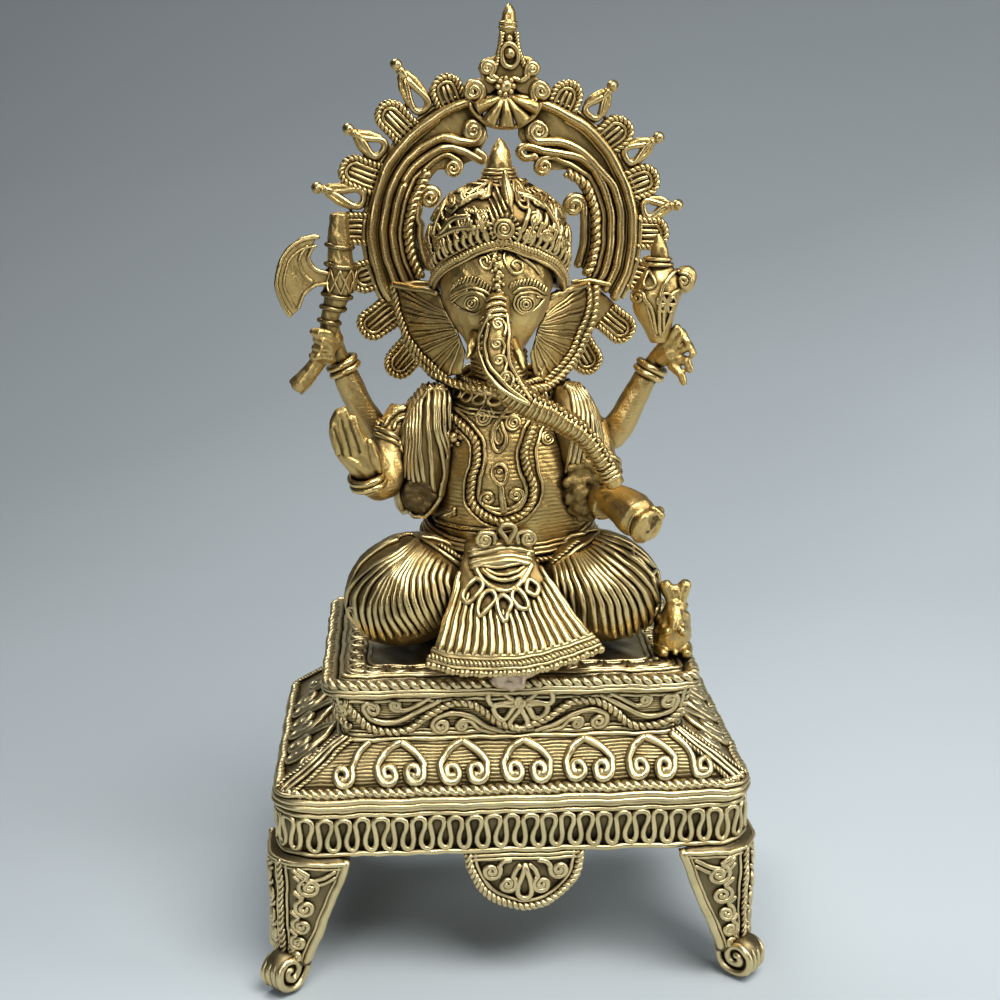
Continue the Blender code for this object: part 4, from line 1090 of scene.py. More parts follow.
def halo_top():
    pane = upright(HALO_Y)
    clay = Clay()
    clay.bar(pane(halo_arc(1, 41.9, -120, 120)), 1.6, 10)
    threads("halo_ring", clay, thread_brass, "halo_outer_wire")

    clay = Clay()
    hinge = vec(1.5, 272.6)
    for turn, wide, reach in ((-64, 2.4, 8.8), (-33, 2.7, 9.0), (0, 2.8, 8.6), (33, 2.7, 9.0),
                              (64, 2.4, 9.6)):
        a = math.radians(turn)
        out = vec(math.sin(a), -math.cos(a))
        across = vec(out[1], -out[0])
        loops = []
        for t in np.linspace(0, 1, 12):
            w = wide * (0.35 + 0.65 * t) * (1.0 if t < 0.85 else 0.92)
            middle = hinge + out * (1.5 + reach * t)
            bulge = 0.8 + 1.5 * math.sin(math.pi * min(t, 0.8))
            rim = [(middle + across * w * math.cos(k), 0.9 + bulge * math.sin(k)) for k in circle(12)]
            loops.append([(x, HALO_Y - 1.4 - lift, z) for (x, z), lift in rim])
        clay.loft(loops)
    edge = [hinge + vec(math.sin(a), -math.cos(a)) * 11.6 * vec(1, 0.88)
            for a in np.radians(np.linspace(-72, 72, 24))]
    clay.bar(pane(edge, 1.5), 0.85, 8)
    clay.bar(pane(edge, 0.4), 0.9, 8)
    threads("halo_scallop", clay, body_brass, "halo_shell")

    body("halo_peak", "halo_crest", body_brass, voxel=0.5, rounds=3, swell=0.0)
    pane = upright(HALO_Y - 1.2)
    clay = Clay()
    for side, low_curl, high_curl in ((-1, (-8.5, 273.4, 3.5), (-4.4, 280.7, 2.4)),
                                      (1, (12.6, 273.4, 3.2), (9.7, 279.9, 2.2))):
        for x, z, r in (low_curl, high_curl):
            spiral = curl(0, 0, r, 300, 1.8, inner=0.2)
            spiral[:, 0] *= -side
            lead = [(-side * r * 1.5, -r * 1.5)]
            path = lead_in(lead, spiral, 5) + (x, z)
            clay.bar(pane(path, 0.5), 1.05, 8)
        stem = smooth([(side * 4.4 + 2.6, 281.0), (side * 3.0 + 2.6, 286.0), (side * 2.2 + 2.7, 291.0)], 6)
        clay.rope(pane(stem, 0.4), 0.9, pitch=2.2)
        arm = [(2.2 + side * 1.6, 277.4), (2.2 + side * 4.6, 276.6), (2.2 + side * 6.4, 277.6)]
        clay.bar(pane(smooth(arm, 5), 0.5), 0.9)
    oval = ring(2.6, 284.2, 2.6, 3.6, 24)
    clay.bar(pane(oval, 0.8), 0.9, 8, closed=True)
    clay.bead((2.6, HALO_Y - 1.9, 284.8), 1.9, 0.8)
    clay.bead((2.7, HALO_Y - 1.4, 289.4), 1.4)
    clay.bead((1.4, HALO_Y - 2.5, 275.0), 2.6, 0.8)
    for turn in range(0, 360, 45):
        a = math.radians(turn)
        clay.bead((1.4 + 2.4 * math.cos(a), HALO_Y - 3.2, 275.0 + 2.4 * math.sin(a)), 1.0)
    for turn in (-50, 0, 50):
        clay.bar(pane(teardrop(1.3, 272.6, 2.0, 1.6, -90 + turn), 1.6), 0.5, 6)
    for z, r in ((292.6, 2.75), (294.0, 2.55)):
        clay.bar(level_ring(2.6, HALO_Y + 0.5, z, r, 16), 0.55, 6, closed=True)
    threads("halo_peak_threads", clay, thread_brass)

    clay = Clay()
    lower = smooth(((-33.2, 11.0, 212.5), (-32.6, 9.5, 204.0), (-29.4, 5.5, 195.0), (-23.4, 0.0, 187.4),
                    (-14.5, -8.0, 184.4), (-2.0, -13.5, 184.0), (9.0, -10.5, 183.2), (16.8, -4.0, 184.8),
                    (23.4, 3.5, 191.4), (28.6, 8.5, 201.0), (30.6, 11.0, 212.0)), 6)
    clay.rope(lower, 1.6, pitch=4.0)
    threads("halo_lower_threads", clay, thread_brass, "halo_lower_rope")


# ---------------------------------------------------------------- body

EYE = vec(-31.9, -503.6, 276.5)


def seen(surface, y):
    """Drawing in (x, z) on an upright pane at y, carried along the line of sight onto a body."""
    def place(flat, lift=0.0):
        out = []
        for x, z in np.asarray(flat, float):
            heading = Vector(unit(vec(x, y, z) - EYE))
            spot, normal, _, _ = surface.ray_cast(Vector(EYE), heading)
            if spot is None or spot.y > 40:
                spot, normal, _, _ = surface.find_nearest(Vector((x, y, z)))
            out.append(np.array(spot) + np.array(normal) * lift)
        return np.array(out)
    return place


def hoop(centre, rx, ry, sag=0.0, sides=48):
    """A ring that dips by sag at the front."""
    turn = circle(sides)
    return np.column_stack([centre[0] + rx * np.sin(turn), centre[1] - ry * np.cos(turn),
                            centre[2] - sag * np.cos(turn)])


GARLAND_STOPS = ((-20.9, 179.3), (-17.5, 178.1), (-13.3, 174.5), (-10.5, 170.5), (-9.7, 166.6),
                 (-10.0, 161.9), (-11.1, 157.9), (-11.7, 152.8), (-10.3, 149.2), (-6.1, 145.8),
                 (-1.4, 144.9), (3.5, 147.0), (6.7, 151.2), (7.1, 156.1), (5.3, 161.6), (4.4, 166.3),
                 (6.0, 171.7), (8.1, 175.3))


def torso():
    surface = body("torso_form", "torso", ribbed_brass, voxel=0.7, rounds=6, swell=0.15)
    body("neck_form", "neck", ribbed_brass, voxel=0.6, rounds=4, swell=0.1)
    clay = Clay()
    for t in np.linspace(0.05, 0.95, 9):
        middle = vec(-1, -2, 181) * (1 - t) + vec(-2.2, -6, 195) * t
        clay.bar(hoop(middle, 8.3, 7.6, 1.0, 28), 0.85, 6, closed=True)
    threads("neck_rings", clay, thread_brass)

    drawn = seen(surface, -25.0)
    clay = Clay()
    clay.rope(drawn(smooth(GARLAND_STOPS, 6), 0.9), 1.45, pitch=3.5)
    threads("garland_rope", clay, thread_brass, "belly_garland")

    clay = Clay()
    line = smooth(GARLAND_STOPS, 6)
    across = unit(np.gradient(line, axis=0))[:, ::-1] * (-1, 1)
    clay.bar(drawn(line + across * 2.2, 0.45), 0.75)
    clay.bar(drawn(line[:70] - across[:70] * 2.2, 0.45), 0.7)
    clay.bar(drawn(scroll([(-2.2, 148.6), (-5.2, 148.9)], -6.7, 152.0, 2.5, 235, 1.6, -1), 0.55), 0.75, 8)
    clay.bar(drawn(scroll([(-1.4, 148.6), (0.8, 149.2)], 1.9, 153.2, 2.5, 295, 1.6), 0.55), 0.75, 8)
    loop = smooth(((-2.7, 156.4), (-0.9, 158.6), (-0.8, 161.4), (-2.8, 163.0), (-5.0, 161.5),
                   (-4.9, 158.6)), 6, closed=True)
    clay.bar(drawn(loop, 0.6), 0.72, 8, closed=True)
    clay.bar(drawn(curl(-2.8, 160.4, 0.9, 0, 1.1), 0.4), 0.4, 6)
    clay.bar(drawn(smooth([(-2.8, 156.8), (-2.4, 153.0), (-1.8, 147.8)], 6), 0.4),
             np.linspace(0.9, 1.4, 13), 8)
    for u, v, start, hand in ((-8.0, 177.2, 100, -1), (1.4, 175.7, 80, 1)):
        clay.bar(drawn(curl(u, v, 2.7, start, 2.5, hand), 0.6), 0.5)
    clay.bar(drawn([(-10.1, 178.0), (-6.8, 183.0), (-4.7, 178.7)], 0.6), 0.6)
    clay.bar(drawn([(-9.0, 178.6), (-6.8, 181.4), (-5.6, 178.6)], 0.4), 0.5)
    drop = smooth(((-0.9, 180.0), (-3.8, 175.8), (-5.4, 171.9), (-5.3, 169.0), (-3.5, 166.8), (-1.6, 168.6),
                   (-1.2, 171.5), (-2.3, 176.1)), 6)
    clay.bar(drawn(drop, 0.55), 0.72)
    clay.bar(drawn(drop * (0.55, 0.55) + (-1.6, 77.4), 0.4), 0.45, 6)
    clay.bar(drawn(curl(11.6, 170.4, 2.1, 90, 2.2), 0.5), 0.45)
    outer = smooth([(15.0, 174.4), (13.4, 175.5), (11.2, 174.9), (9.3, 172.0), (7.9, 167.0), (8.9, 160.5),
                    (9.9, 155.4), (9.2, 150.6), (5.3, 145.9), (0.0, 143.1), (-7.9, 142.3), (-15.0, 143.2),
                    (-19.9, 144.6), (-24.8, 146.9)], 7)
    clay.bar(drawn(outer, 0.5), 0.66)
    clay.bar(drawn(outer[60:] + (0, -1.5), 0.4), 0.5)
    clay.bead(drawn([(-16.6, 171.2)], 1.0)[0], 1.9, 0.8)
    for turn in range(0, 360, 60):
        a = math.radians(turn)
        clay.bead(drawn([(-16.6 + 2.0 * math.cos(a), 171.2 + 2.3 * math.sin(a))], 0.6)[0], 0.95)
    for turn in (70, 110, 150):
        clay.bar(drawn(teardrop(-16.4, 173.2, 4.2, 2.0, turn), 0.5), 0.45, 6)
    for side, u, v in ((-1, -8.1, 139.2), (1, 5.4, 139.2)):
        spiral = curl(0, 0, 2.3, 95, 1.8)
        spiral[:, 0] *= -side
        lead = [(u - side * 4.8, v - 1.4), (u - side * 3.0, v + 1.8)]
        clay.bar(drawn(lead_in(lead, spiral + (u, v), 5), 0.6), 0.66)
    clay.bar(drawn(teardrop(-0.8, 137.6, 5.8, 4.4, 90), 0.7), 0.75, closed=True)
    around = around_axis(surface, 0.5, 0)
    for side in (-1, 1):
        for low, high in ((170.0, 176.5), (168.0, 174.5)):
            clay.bar(around([(side * a, low + (high - low) * (a - 76) / 100) for a in range(76, 178, 6)],
                            0.4), 0.6, 6)
    threads("torso_threads", clay, thread_brass)

    clay = Clay()
    clay.bar(hoop((-0.8, -1.5, 184.0), 14.2, 11.2, 1.4), 1.7, 9, closed=True)
    clay.rope(hoop((-0.8, -1.5, 186.6), 13.4, 10.8, 1.6), 1.1, pitch=2.8, closed=True)
    for dz, grow in ((180.6, 0.0), (179.2, 0.6)):
        clay.bar(pressed(surface, hoop((-0.8, -1.5, dz), 19.0 + grow, 14.0 + grow, 2.6, 60), 0.45), 0.62,
                 closed=True)
    for k in range(20):
        turn = TAU * (k + 0.5) / 20
        out = vec(math.sin(turn), -math.cos(turn), 0)
        along = vec(math.cos(turn), math.sin(turn), 0)
        middle = vec(-0.8, -1.5, 185.0 - 1.8 * math.cos(turn)) + out * vec(14.8, 11.8, 0)
        loop = [middle + along * (2.1 * math.sin(TAU * t) - 0.9 * math.sin(math.pi * t))
                - UP * (3.9 * math.sin(math.pi * t)) + out * 1.7 * math.sin(math.pi * t)
                for t in np.linspace(0.04, 0.96, 12)]
        clay.bar(loop, 0.6, 6)
    threads("necklaces", clay, thread_brass, "collar")

    clay = Clay()
    belt = (1.5, -1.5, 137.5)
    for dz, grow, r in ((2.4, -0.5, 0.62), (1.1, 0.1, 0.7), (-0.3, 0.7, 0.62)):
        clay.bar(hoop((belt[0], belt[1], belt[2] + dz), 26.9 + grow, 17.8 + grow, 5.0, 60), r, closed=True)
    clay.rope(hoop((belt[0], belt[1] - 0.5, belt[2] - 2.4), 28.2, 19.0, 5.0, 60), 1.1, pitch=3.2,
              closed=True)
    clay.bar(hoop(belt, 25.6, 16.6, 5.0, 60), 1.9, 8, closed=True)
    threads("belt_threads", clay, thread_brass, "waist_belt")


THIGH_RIBS = {"right": (((-28.7, 138.4), (-35.9, 134.3), (-44.8, 128.5), (-49.6, 122.7), (-49.7, 116.2),
                         (-46.8, 108.5)),
                        ((-28.2, 137.3), (-35.0, 130.5), (-41.3, 123.1), (-43.5, 116.0), (-41.7, 107.4)),
                        ((-27.7, 136.8), (-32.9, 131.0), (-37.2, 123.0), (-37.9, 115.9), (-34.1, 108.6)),
                        ((-26.7, 135.7), (-30.4, 129.8), (-32.6, 122.9), (-31.1, 115.8), (-26.5, 109.4)),
                        ((-23.6, 132.9), (-25.8, 129.2), (-26.3, 123.8), (-24.9, 118.3), (-22.3, 112.6)),
                        ((-18.6, 130.2), (-19.9, 125.3), (-19.2, 121.0), (-17.7, 115.6))),
              "left": (((28.4, 139.6), (37.6, 136.4), (45.8, 130.0), (50.4, 121.4), (50.2, 112.5)),
                       ((27.0, 138.0), (35.4, 133.2), (43.6, 126.5), (48.3, 118.8), (47.8, 112.5)),
                       ((26.0, 135.1), (34.5, 127.9), (41.4, 119.5), (45.1, 108.6)),
                       ((23.2, 133.4), (30.0, 126.8), (36.9, 118.4), (39.6, 106.8)),
                       ((22.1, 132.8), (27.2, 125.7), (32.4, 117.4), (34.6, 106.8)),
                       ((20.4, 132.9), (23.8, 125.8), (27.2, 117.5), (28.6, 108.4)),
                       ((17.1, 131.8), (18.9, 125.3), (20.6, 118.2), (21.0, 110.6)),
                       ((14.3, 129.5), (15.4, 124.8), (15.2, 119.0), (14.6, 114.6)))}
THIGH_CENTRES = {"right": (-31.0, -14.5, 119.6), "left": (28.6, -14.5, 119.6)}


def thigh(label):
    """A folded leg: its ribs fan down from the belt, and the back is ribbed from the same place."""
    name = "thigh_" + label
    centre = THIGH_CENTRES[label]
    side = 1 if centre[0] > 0 else -1
    surface = body(name + "_form", name, rib_ground, voxel=0.8, rounds=6, swell=0.0)
    clay = Clay()
    drawn = seen(surface, -25.0)
    points = 26
    girth = np.linspace(0.85, 1.35, points) * np.linspace(1, 0.5, points) ** 0.5
    for rib in between(THIGH_RIBS[label], 16, points):
        clay.bar(drawn(rib, 0.5), girth, 8)
    for k in range(17):
        turn = math.radians(84 + 11.5 * k) * side
        rows = []
        for t in np.linspace(0.06, 0.92, 16):
            polar = math.pi * t
            reach = 21.5 * math.sin(polar)
            rows.append((centre[0] + reach * math.sin(turn), centre[1] - reach * math.cos(turn),
                         centre[2] + 18 * math.cos(polar)))
        clay.bar(pressed(surface, rows, 0.55), 0.95, 6)
    edge = [(side * x, z) for x, z in ((29.6, 140.6), (22.6, 135.8), (14.4, 129.4))]
    clay.bar(drawn(smooth(edge), 0.5), 0.8)
    clay.rope(drawn([(x - side * 0.9, z + 1.4) for x, z in smooth(edge[1:])], 0.5), 1.0, pitch=2.6)
    threads(name + "_ribs", clay, cloth_thread)


def fan_chart():
    def spot(u, t):
        half = 9.3 + 16.7 * t ** 1.15
        bow = 1 - u * u
        return vec(-4.2 + 4.6 * t + u * half, -22.5 - 22.0 * t ** 0.9 - (2 + 3.5 * t) * bow,
                   137.5 - 30.5 * t - 3.0 * t * bow + 2 * t * u)

    def place(flat, lift=0.0):
        out = []
        for u, t in np.asarray(flat, float):
            t = max(t, 0.001)
            a, b = spot(u + 0.01, t) - spot(u - 0.01, t), spot(u, t + 0.01) - spot(u, t - 0.0009)
            normal = unit(np.cross(b, a))
            if normal[1] > 0:
                normal = -normal
            out.append(spot(u, t) + normal * lift)
        return np.array(out)
    return place


def dhoti():
    surface = body("fan_ground", "dhoti_fan", rib_ground, voxel=0.6, rounds=3, swell=0.05)
    fan = fan_chart()
    clay = Clay()
    pleats = 18
    for k in range(pleats):
        u = -0.95 + 1.9 * k / (pleats - 1)
        start = 0.30 + 0.22 * (1 - u * u) + 0.02 * (k % 2)
        t = np.linspace(start, 0.86, 12)
        clay.bar(fan(np.column_stack([np.full(12, u), t]), 0.35), np.linspace(0.8, 1.55, 12), 8)
    across = np.linspace(-1.0, 1.0, 40)
    for t, lift, r in ((0.868, 0.8, 0.75), (0.892, 0.9, 0.7), (0.965, 0.9, 0.65)):
        clay.bar(fan(np.column_stack([across * 1.02, np.full(40, t)]), lift), r)
    clay.rope(fan(np.column_stack([across * 1.02, np.full(40, 0.93)]), 0.8), 1.15, pitch=2.7)
    for k, u in enumerate(np.linspace(-1.0, 1.0, 38)):
        clay.bead(fan([(u, 1.0 + 0.004 * math.sin(3.1 * k))], 0.5)[0], 1.15 + 0.2 * math.sin(1.9 * k), 0.85)
    for side in (-1, 1):
        clay.bar(fan([(side * 0.99, t) for t in np.linspace(0.25, 0.9, 14)], 0.4), 0.9)
    threads("fan_pleats", clay, cloth_thread)

    clay = Clay()
    high = seen(surface, -30.0)
    spread = upright(-27.4)
    for side, u, v in ((-1, -8.1, 139.6), (1, 5.4, 139.6)):
        spiral = curl(0, 0, 2.5, 95, 1.9)
        spiral[:, 0] *= -side
        lead = [(u - side * 3.0, v - 1.2), (u - side * 3.1, v + 1.6)]
        clay.bar(spread(lead_in(lead, spiral + (u, v), 5), 0.0), 0.78)
    clay.bar(spread(teardrop(-0.7, 138.0, 6.2, 4.2, 90), 0.3), 0.85, closed=True)
    for k, z in enumerate((138.2, 136.8, 134.4, 132.9)):
        clay.bar(high(smooth([(-12.4 + 0.3 * k, z - 1.5), (-6.0, z - 0.3), (0.6, z),
                              (6.4 - 0.2 * k, z - 1.2)], 6), 0.7), 1.15, 8)
    plaque = smooth(((-11.6, 135.2), (-8.1, 136.6), (-1.8, 137.4), (3.6, 137.7),
               (6.6, 135.5), (5.8, 132.9), (2.0, 131.6), (-3.6, 131.7), (-10.4, 132.4)), 4, closed=True)
    clay.loft([[high([(x, z)], lift)[0] for x, z in plaque] for lift in (0.2, 1.6)])
    for stops, r in ((((-9.3, 131.9), (-3.6, 131.1), (2.6, 131.8)), 0.6),
                     (((-8.6, 130.4), (-5.5, 127.9), (-1.8, 126.9), (2.4, 127.7), (5.0, 130.3)), 0.8),
                     (((-7.4, 130.6), (-4.6, 129.2), (-1.8, 128.7), (1.6, 129.2), (4.0, 130.8)), 0.6),
                     (((-10.4, 130.6), (-8.2, 126.6), (-5.0, 124.2), (-1.8, 123.5), (1.4, 124.4),
                       (4.5, 127.7), (6.3, 131.6)), 1.0)):
        clay.bar(high(smooth(stops, 7), 1.0), r, 8)
    low = seen(surface, -35.0)
    for stops in (((-10.7, 129.0), (-9.0, 127.4), (-9.9, 124.7), (-13.0, 121.2), (-14.9, 122.9),
                   (-13.6, 126.4)),
                  ((-6.4, 125.1), (-4.9, 122.7), (-6.7, 119.9), (-9.4, 116.9), (-10.3, 120.0),
                   (-8.9, 123.7)),
                  ((-2.6, 123.6), (-0.2, 121.2), (-1.1, 117.9), (-2.2, 115.1), (-3.6, 117.9),
                   (-4.6, 121.7)),
                  ((1.3, 125.4), (3.7, 122.9), (4.8, 119.2), (2.2, 119.7), (-0.2, 123.1)),
                  ((4.9, 128.1), (7.6, 126.2), (7.2, 123.2), (4.2, 124.9))):
        clay.bar(low(smooth(stops, 6, closed=True), 1.3), 0.85, 8, closed=True)
    threads("fan_threads", clay, cloth_thread)


SHAWL_RIBS = {"right": (((-27.4, 186.2), (-29.9, 181.3), (-30.6, 171.3), (-31.3, 161.7), (-31.6, 156.0)),
                        ((-26.2, 187.4), (-27.9, 182.8), (-28.6, 171.2), (-29.3, 160.0), (-28.6, 154.5)),
                        ((-24.8, 188.4), (-25.8, 183.3), (-26.5, 171.2), (-26.9, 164.9), (-25.2, 155.2)),
                        ((-23.2, 189.0), (-23.7, 183.8), (-23.9, 171.2), (-23.0, 163.2), (-22.4, 150.8)),
                        ((-21.4, 189.0), (-21.6, 182.7), (-21.5, 171.1), (-19.6, 164.2), (-18.4, 157.2),
                         (-20.8, 150.3)),
                        ((-18.6, 187.6), (-18.4, 182.0), (-18.2, 172.0), (-17.2, 164.5), (-16.6, 157.4),
                         (-18.6, 150.6))),
              "left": (((18.0, 188.6), (18.4, 184.2), (20.1, 177.9), (19.4, 170.0), (18.8, 162.0),
                        (17.6, 156.0)),
                       ((19.6, 188.4), (21.0, 184.2), (24.0, 177.9), (24.6, 171.0), (23.2, 160.7)),
                       ((21.0, 187.6), (23.4, 183.6), (27.6, 177.3), (29.6, 171.0), (29.2, 160.0)))}


SHAWL_TOP = 183.5
SHAWL_GIRTH = np.array(((0.0, 4.0, 5.0), (0.1, 6.2, 8.5), (0.3, 8.0, 11.5), (0.6, 8.8, 12.5),
                        (0.85, 8.4, 11.0), (1.0, 6.5, 7.5)))


def lumps(count, middle, spread, radius):
    """Beads strewn evenly through a flat oval space, for rough cast skin and for the dark patch of painted
    shade in the right sleeve.
    """
    clay = Clay()
    for k in range(count):
        turn, reach = GOLDEN * k, math.sqrt((k + 0.5) / count)
        shift = vec(reach * math.cos(turn), 0.5 * math.sin(5.1 * k), reach * math.sin(turn)) * spread
        clay.bead(np.array(middle) + shift, radius * (0.75 + 0.35 * math.sin(3.7 * k)), 0.8)
    return clay


def shawl(label, side, middle_x, low_z):
    """Cloth over the shoulder, in upright folds all the way round."""
    name = "shawl_" + label
    surface = body(name + "_form", name, rib_ground, voxel=0.7, rounds=4, swell=0.0)
    clay = Clay()
    drawn = seen(surface, -12.0)
    for rib in between(SHAWL_RIBS[label], 12 if side < 0 else 8, 32):
        clay.bar(drawn(rib, 0.4), 0.82)
    for k in range(20):
        turn = math.radians(88 + 216 * k / 19) * -side
        rows = []
        for t in np.linspace(0.12, 0.96, 18):
            rx, ry = (np.interp(t, SHAWL_GIRTH[:, 0], SHAWL_GIRTH[:, n]) for n in (1, 2))
            middle = side * (middle_x - 4.5 * (1 - t) ** 2)
            rows.append((middle + math.sin(turn) * rx, -3.5 - math.cos(turn) * ry,
                         SHAWL_TOP + (low_z - SHAWL_TOP) * t))
        clay.bar(pressed(surface, rows, 0.4), 0.85, 6)
    if side < 0:
        rim_line = smooth(((-33.2, 156.0), (-34.4, 149.6), (-31.4, 143.4), (-26.9, 143.0), (-21.6, 149.3),
                           (-20.6, 154.0)), 6)
        clay.bar(drawn(rim_line, 0.4), 0.85, 8)
    threads(name + "_ribs", clay, cloth_thread)
    if side < 0:
        # Inside the right sleeve's rim, a dark lumpy patch: painted shade of the sleeve's hollow, with
        # patina.
        clay = lumps(60, drawn([(-27.8, 149.6)], 0.1)[0], (4.9, 1.2, 5.4), 1.2)
        sculpture("sleeve_hollow", clay, hollow_shade_and_patina, voxel=0.5, rounds=1)
    else:
        clay = lumps(150, (24.6, -14.8, 152.4), (6.4, 3.2, 10.6), 1.5)
        sculpture("rough_skin", clay, rough_metal, voxel=0.5, rounds=1)


# ---------------------------------------------------------------- head

CROWN = vec(-1.9, -5.0)
GABLE_RISE, GABLE_HALF = 2.3, 12


def crown_base(turn):
    """The lower edge of the crown: the turn starts at the front, in degrees."""
    a = math.radians(turn)
    return vec(CROWN[0] + 20.5 * math.sin(a), CROWN[1] - 16.5 * math.cos(a),
               216 + 12.5 * max(0.0, math.cos(a)))


def crown_line(grow, dz):
    """The crown's lower edge, grown about its middle; over the brow it rises to a low gable."""
    rows = []
    for turn in range(0, 360, 5):
        x, y, z = crown_base(turn)
        gable = GABLE_RISE * max(0.0, 1 - abs(x - CROWN[0]) / GABLE_HALF) if y < CROWN[1] else 0.0
        rows.append((CROWN[0] + (x - CROWN[0]) * grow, CROWN[1] + (y - CROWN[1]) * grow, z + dz + gable))
    return np.array(rows)


def face():
    surface = body("head_form", "head", body_brass, voxel=0.55, rounds=8, swell=0.15)
    drawn = seen(surface, -22.0)
    clay = Clay()
    for u, v, r in ((-11.2, 212.1, 2.0), (-11.2, 212.1, 1.15), (4.9, 211.7, 2.5), (4.9, 211.7, 1.6),
                    (4.9, 211.7, 0.8)):
        clay.bar(drawn(ring(u, v, r, r * 0.95, 20), 0.25), 0.42, 6, closed=True)
    clay.bead(drawn([(-11.2, 212.1)], 0.1)[0], 0.7)
    lids = (((-16.9, 212.5), (-14.5, 214.5), (-10.8, 215.6), (-7.7, 213.9), (-6.9, 211.9)),
            ((-16.9, 212.5), (-14.5, 210.4), (-10.4, 208.8), (-8.0, 209.8), (-6.9, 211.9)),
            ((-17.4, 214.3), (-14.8, 215.9), (-10.8, 216.9), (-7.2, 215.2), (-4.6, 212.9)),
            ((-17.6, 213.2), (-15.4, 214.8), (-12.4, 215.9)),
            ((1.3, 211.6), (2.4, 214.2), (5.6, 215.4), (8.4, 214.6), (10.6, 213.0)),
            ((1.3, 211.6), (2.6, 209.6), (5.0, 208.8), (7.8, 210.0), (10.6, 213.0)),
            ((1.2, 214.9), (3.4, 216.4), (6.6, 216.7), (10.4, 214.6)),
            ((8.4, 213.6), (11.4, 213.6)))
    for stops in lids:
        clay.bar(drawn(smooth(stops, 6), 0.3), 0.45, 6)
    for stops in (((-16.8, 216.8), (-14.7, 218.6), (-11.6, 219.2), (-8.9, 218.1), (-5.8, 215.6)),
                  ((0.6, 217.0), (3.9, 218.4), (7.2, 218.1), (10.9, 215.6))):
        for x, z in evenly(smooth(stops), 1.05)[0]:
            clay.bar(drawn([(x - 0.35, z - 0.7), (x + 0.3, z + 0.75)], 0.25), 0.42, 6)
    for stops in (((-0.5, 229.1), (-1.2, 225.0), (0.6, 221.4), (2.4, 220.8), (3.8, 221.6), (4.2, 223.7),
                   (2.6, 224.5), (1.2, 223.4), (2.2, 222.3)),
                  ((-3.4, 227.6), (-4.6, 224.6), (-5.8, 222.2), (-7.6, 222.4), (-8.2, 224.6), (-6.6, 225.3),
                   (-6.2, 223.9)),
                  ((-6.2, 226.0), (-5.2, 224.4)), ((2.6, 226.6), (6.6, 223.6), (9.4, 220.6))):
        clay.bar(drawn(smooth(stops, 6), 0.35), 0.55, 6)
    for k in range(11):
        z = 228.4 - 1.3 * k
        x = -3.6 - 0.5 * math.sin(0.6 * k)
        clay.bead(drawn([(x + 0.35 * (-1) ** k, z)], 0.1)[0], 1.15 + 0.25 * math.sin(2.2 * k), 0.8)
        clay.bead(drawn([(x + 1.4 * (-1) ** k, z - 0.6)], 0.1)[0], 0.75)
    threads("face_threads", clay, thread_brass)
    for label in ("right", "left"):
        body("tusk_form_" + label, "tusk_" + label, body_brass, voxel=0.4, rounds=3, swell=0.15)


TRUNK = ((-2.9, -17.5, 214.5, 4.2), (-3.9, -24, 208.5, 4.6), (-4.4, -27.8, 201, 4.7), (-3.6, -30, 194, 4.6),
         (-0.2, -31.5, 187.4, 4.4), (5.8, -32.5, 182.6, 4.0), (13.3, -33, 179.4, 3.5),
         (19.8, -33, 175.2, 3.1), (24.5, -32.5, 170.4, 2.8), (27.6, -31.8, 165.2, 2.8),
         (30.4, -31, 160.4, 3.0), (32.2, -30.5, 157.2, 2.9))


def trunk():
    surface = body("trunk_form", "trunk", body_brass, voxel=0.5, rounds=5, swell=0.1)
    path, at = evenly(smooth(TRUNK), 0.5)
    spine, radii = path[:, :3], path[:, 3]
    tangent = unit(np.gradient(spine, axis=0))
    front = unit(vec(-0.15, -1.0, 0.25) - tangent * (tangent @ vec(-0.15, -1.0, 0.25))[:, None])
    side = np.cross(tangent, front)

    def spot(s, turn, lift):
        k = int(min(max(s / at[-1], 0), 1) * (len(at) - 1))
        a = math.radians(turn)
        return spine[k] + (radii[k] + lift) * (front[k] * math.cos(a) + side[k] * math.sin(a))

    clay = Clay()
    total = at[-1]
    for s in np.arange(11.0, total - 6.0, 1.75):
        open_front = s < 33
        turns = np.linspace(52, 308, 16) if open_front else np.arange(18) * 20.0
        clay.bar([spot(s, t, -0.05) for t in turns], 0.62 - 0.10 * (s > 45), 6, closed=not open_front)
    for s in (total - 6.4, total - 4.6, total - 3.4):
        clay.bar([spot(s, t, 0.2) for t in np.arange(18) * 20.0], 0.8, closed=True)
    for s in np.arange(31.0, total - 7.0, 1.75):
        clay.bead(spot(s, 128, 0.7), 1.0)
        clay.bead(spot(s, -40, 0.5), 0.75)
    threads("trunk_ribs", clay, thread_brass)

    clay = Clay()
    drawn = seen(surface, -25.0)
    for z, r in ((213.5, 0.75), (211.7, 0.85), (209.9, 0.85), (208.3, 0.75)):
        clay.bar(drawn([(-6.1, z - 0.5), (-4.8, z), (-2.6, z + 0.1), (-1.3, z - 0.3)], 0.4), r)
    drawn = seen(surface, -28.0)
    for x, z, hand in ((-3.8, 206.4, 1), (-4.0, 200.6, 1), (-3.3, 195.6, 1), (-1.6, 190.6, 1)):
        clay.bar(drawn(scroll([(x + 1.6, z - 3.2), (x + 2.2, z - 1.0)], x, z, 1.75, 10, 1.7, hand), 0.45),
                 0.55)
    for stops, r in ((((-5.8, 209.1), (-8.7, 202.9), (-8.2, 196.7), (-4.9, 189.8), (0.3, 185.0),
                       (5.5, 181.8)), 0.72),
                     (((-6.3, 206.5), (-7.1, 201.3), (-6.1, 195.1), (-2.3, 189.3), (2.9, 184.5),
                       (5.6, 182.2)), 0.62),
                     (((-1.2, 209.0), (-0.9, 204.4), (-0.9, 199.2), (-0.4, 195.0), (2.4, 188.7),
                       (6.1, 183.2)), 0.66)):
        clay.bar(drawn(smooth(stops), 0.6), r)
    threads("trunk_threads", clay, thread_brass)


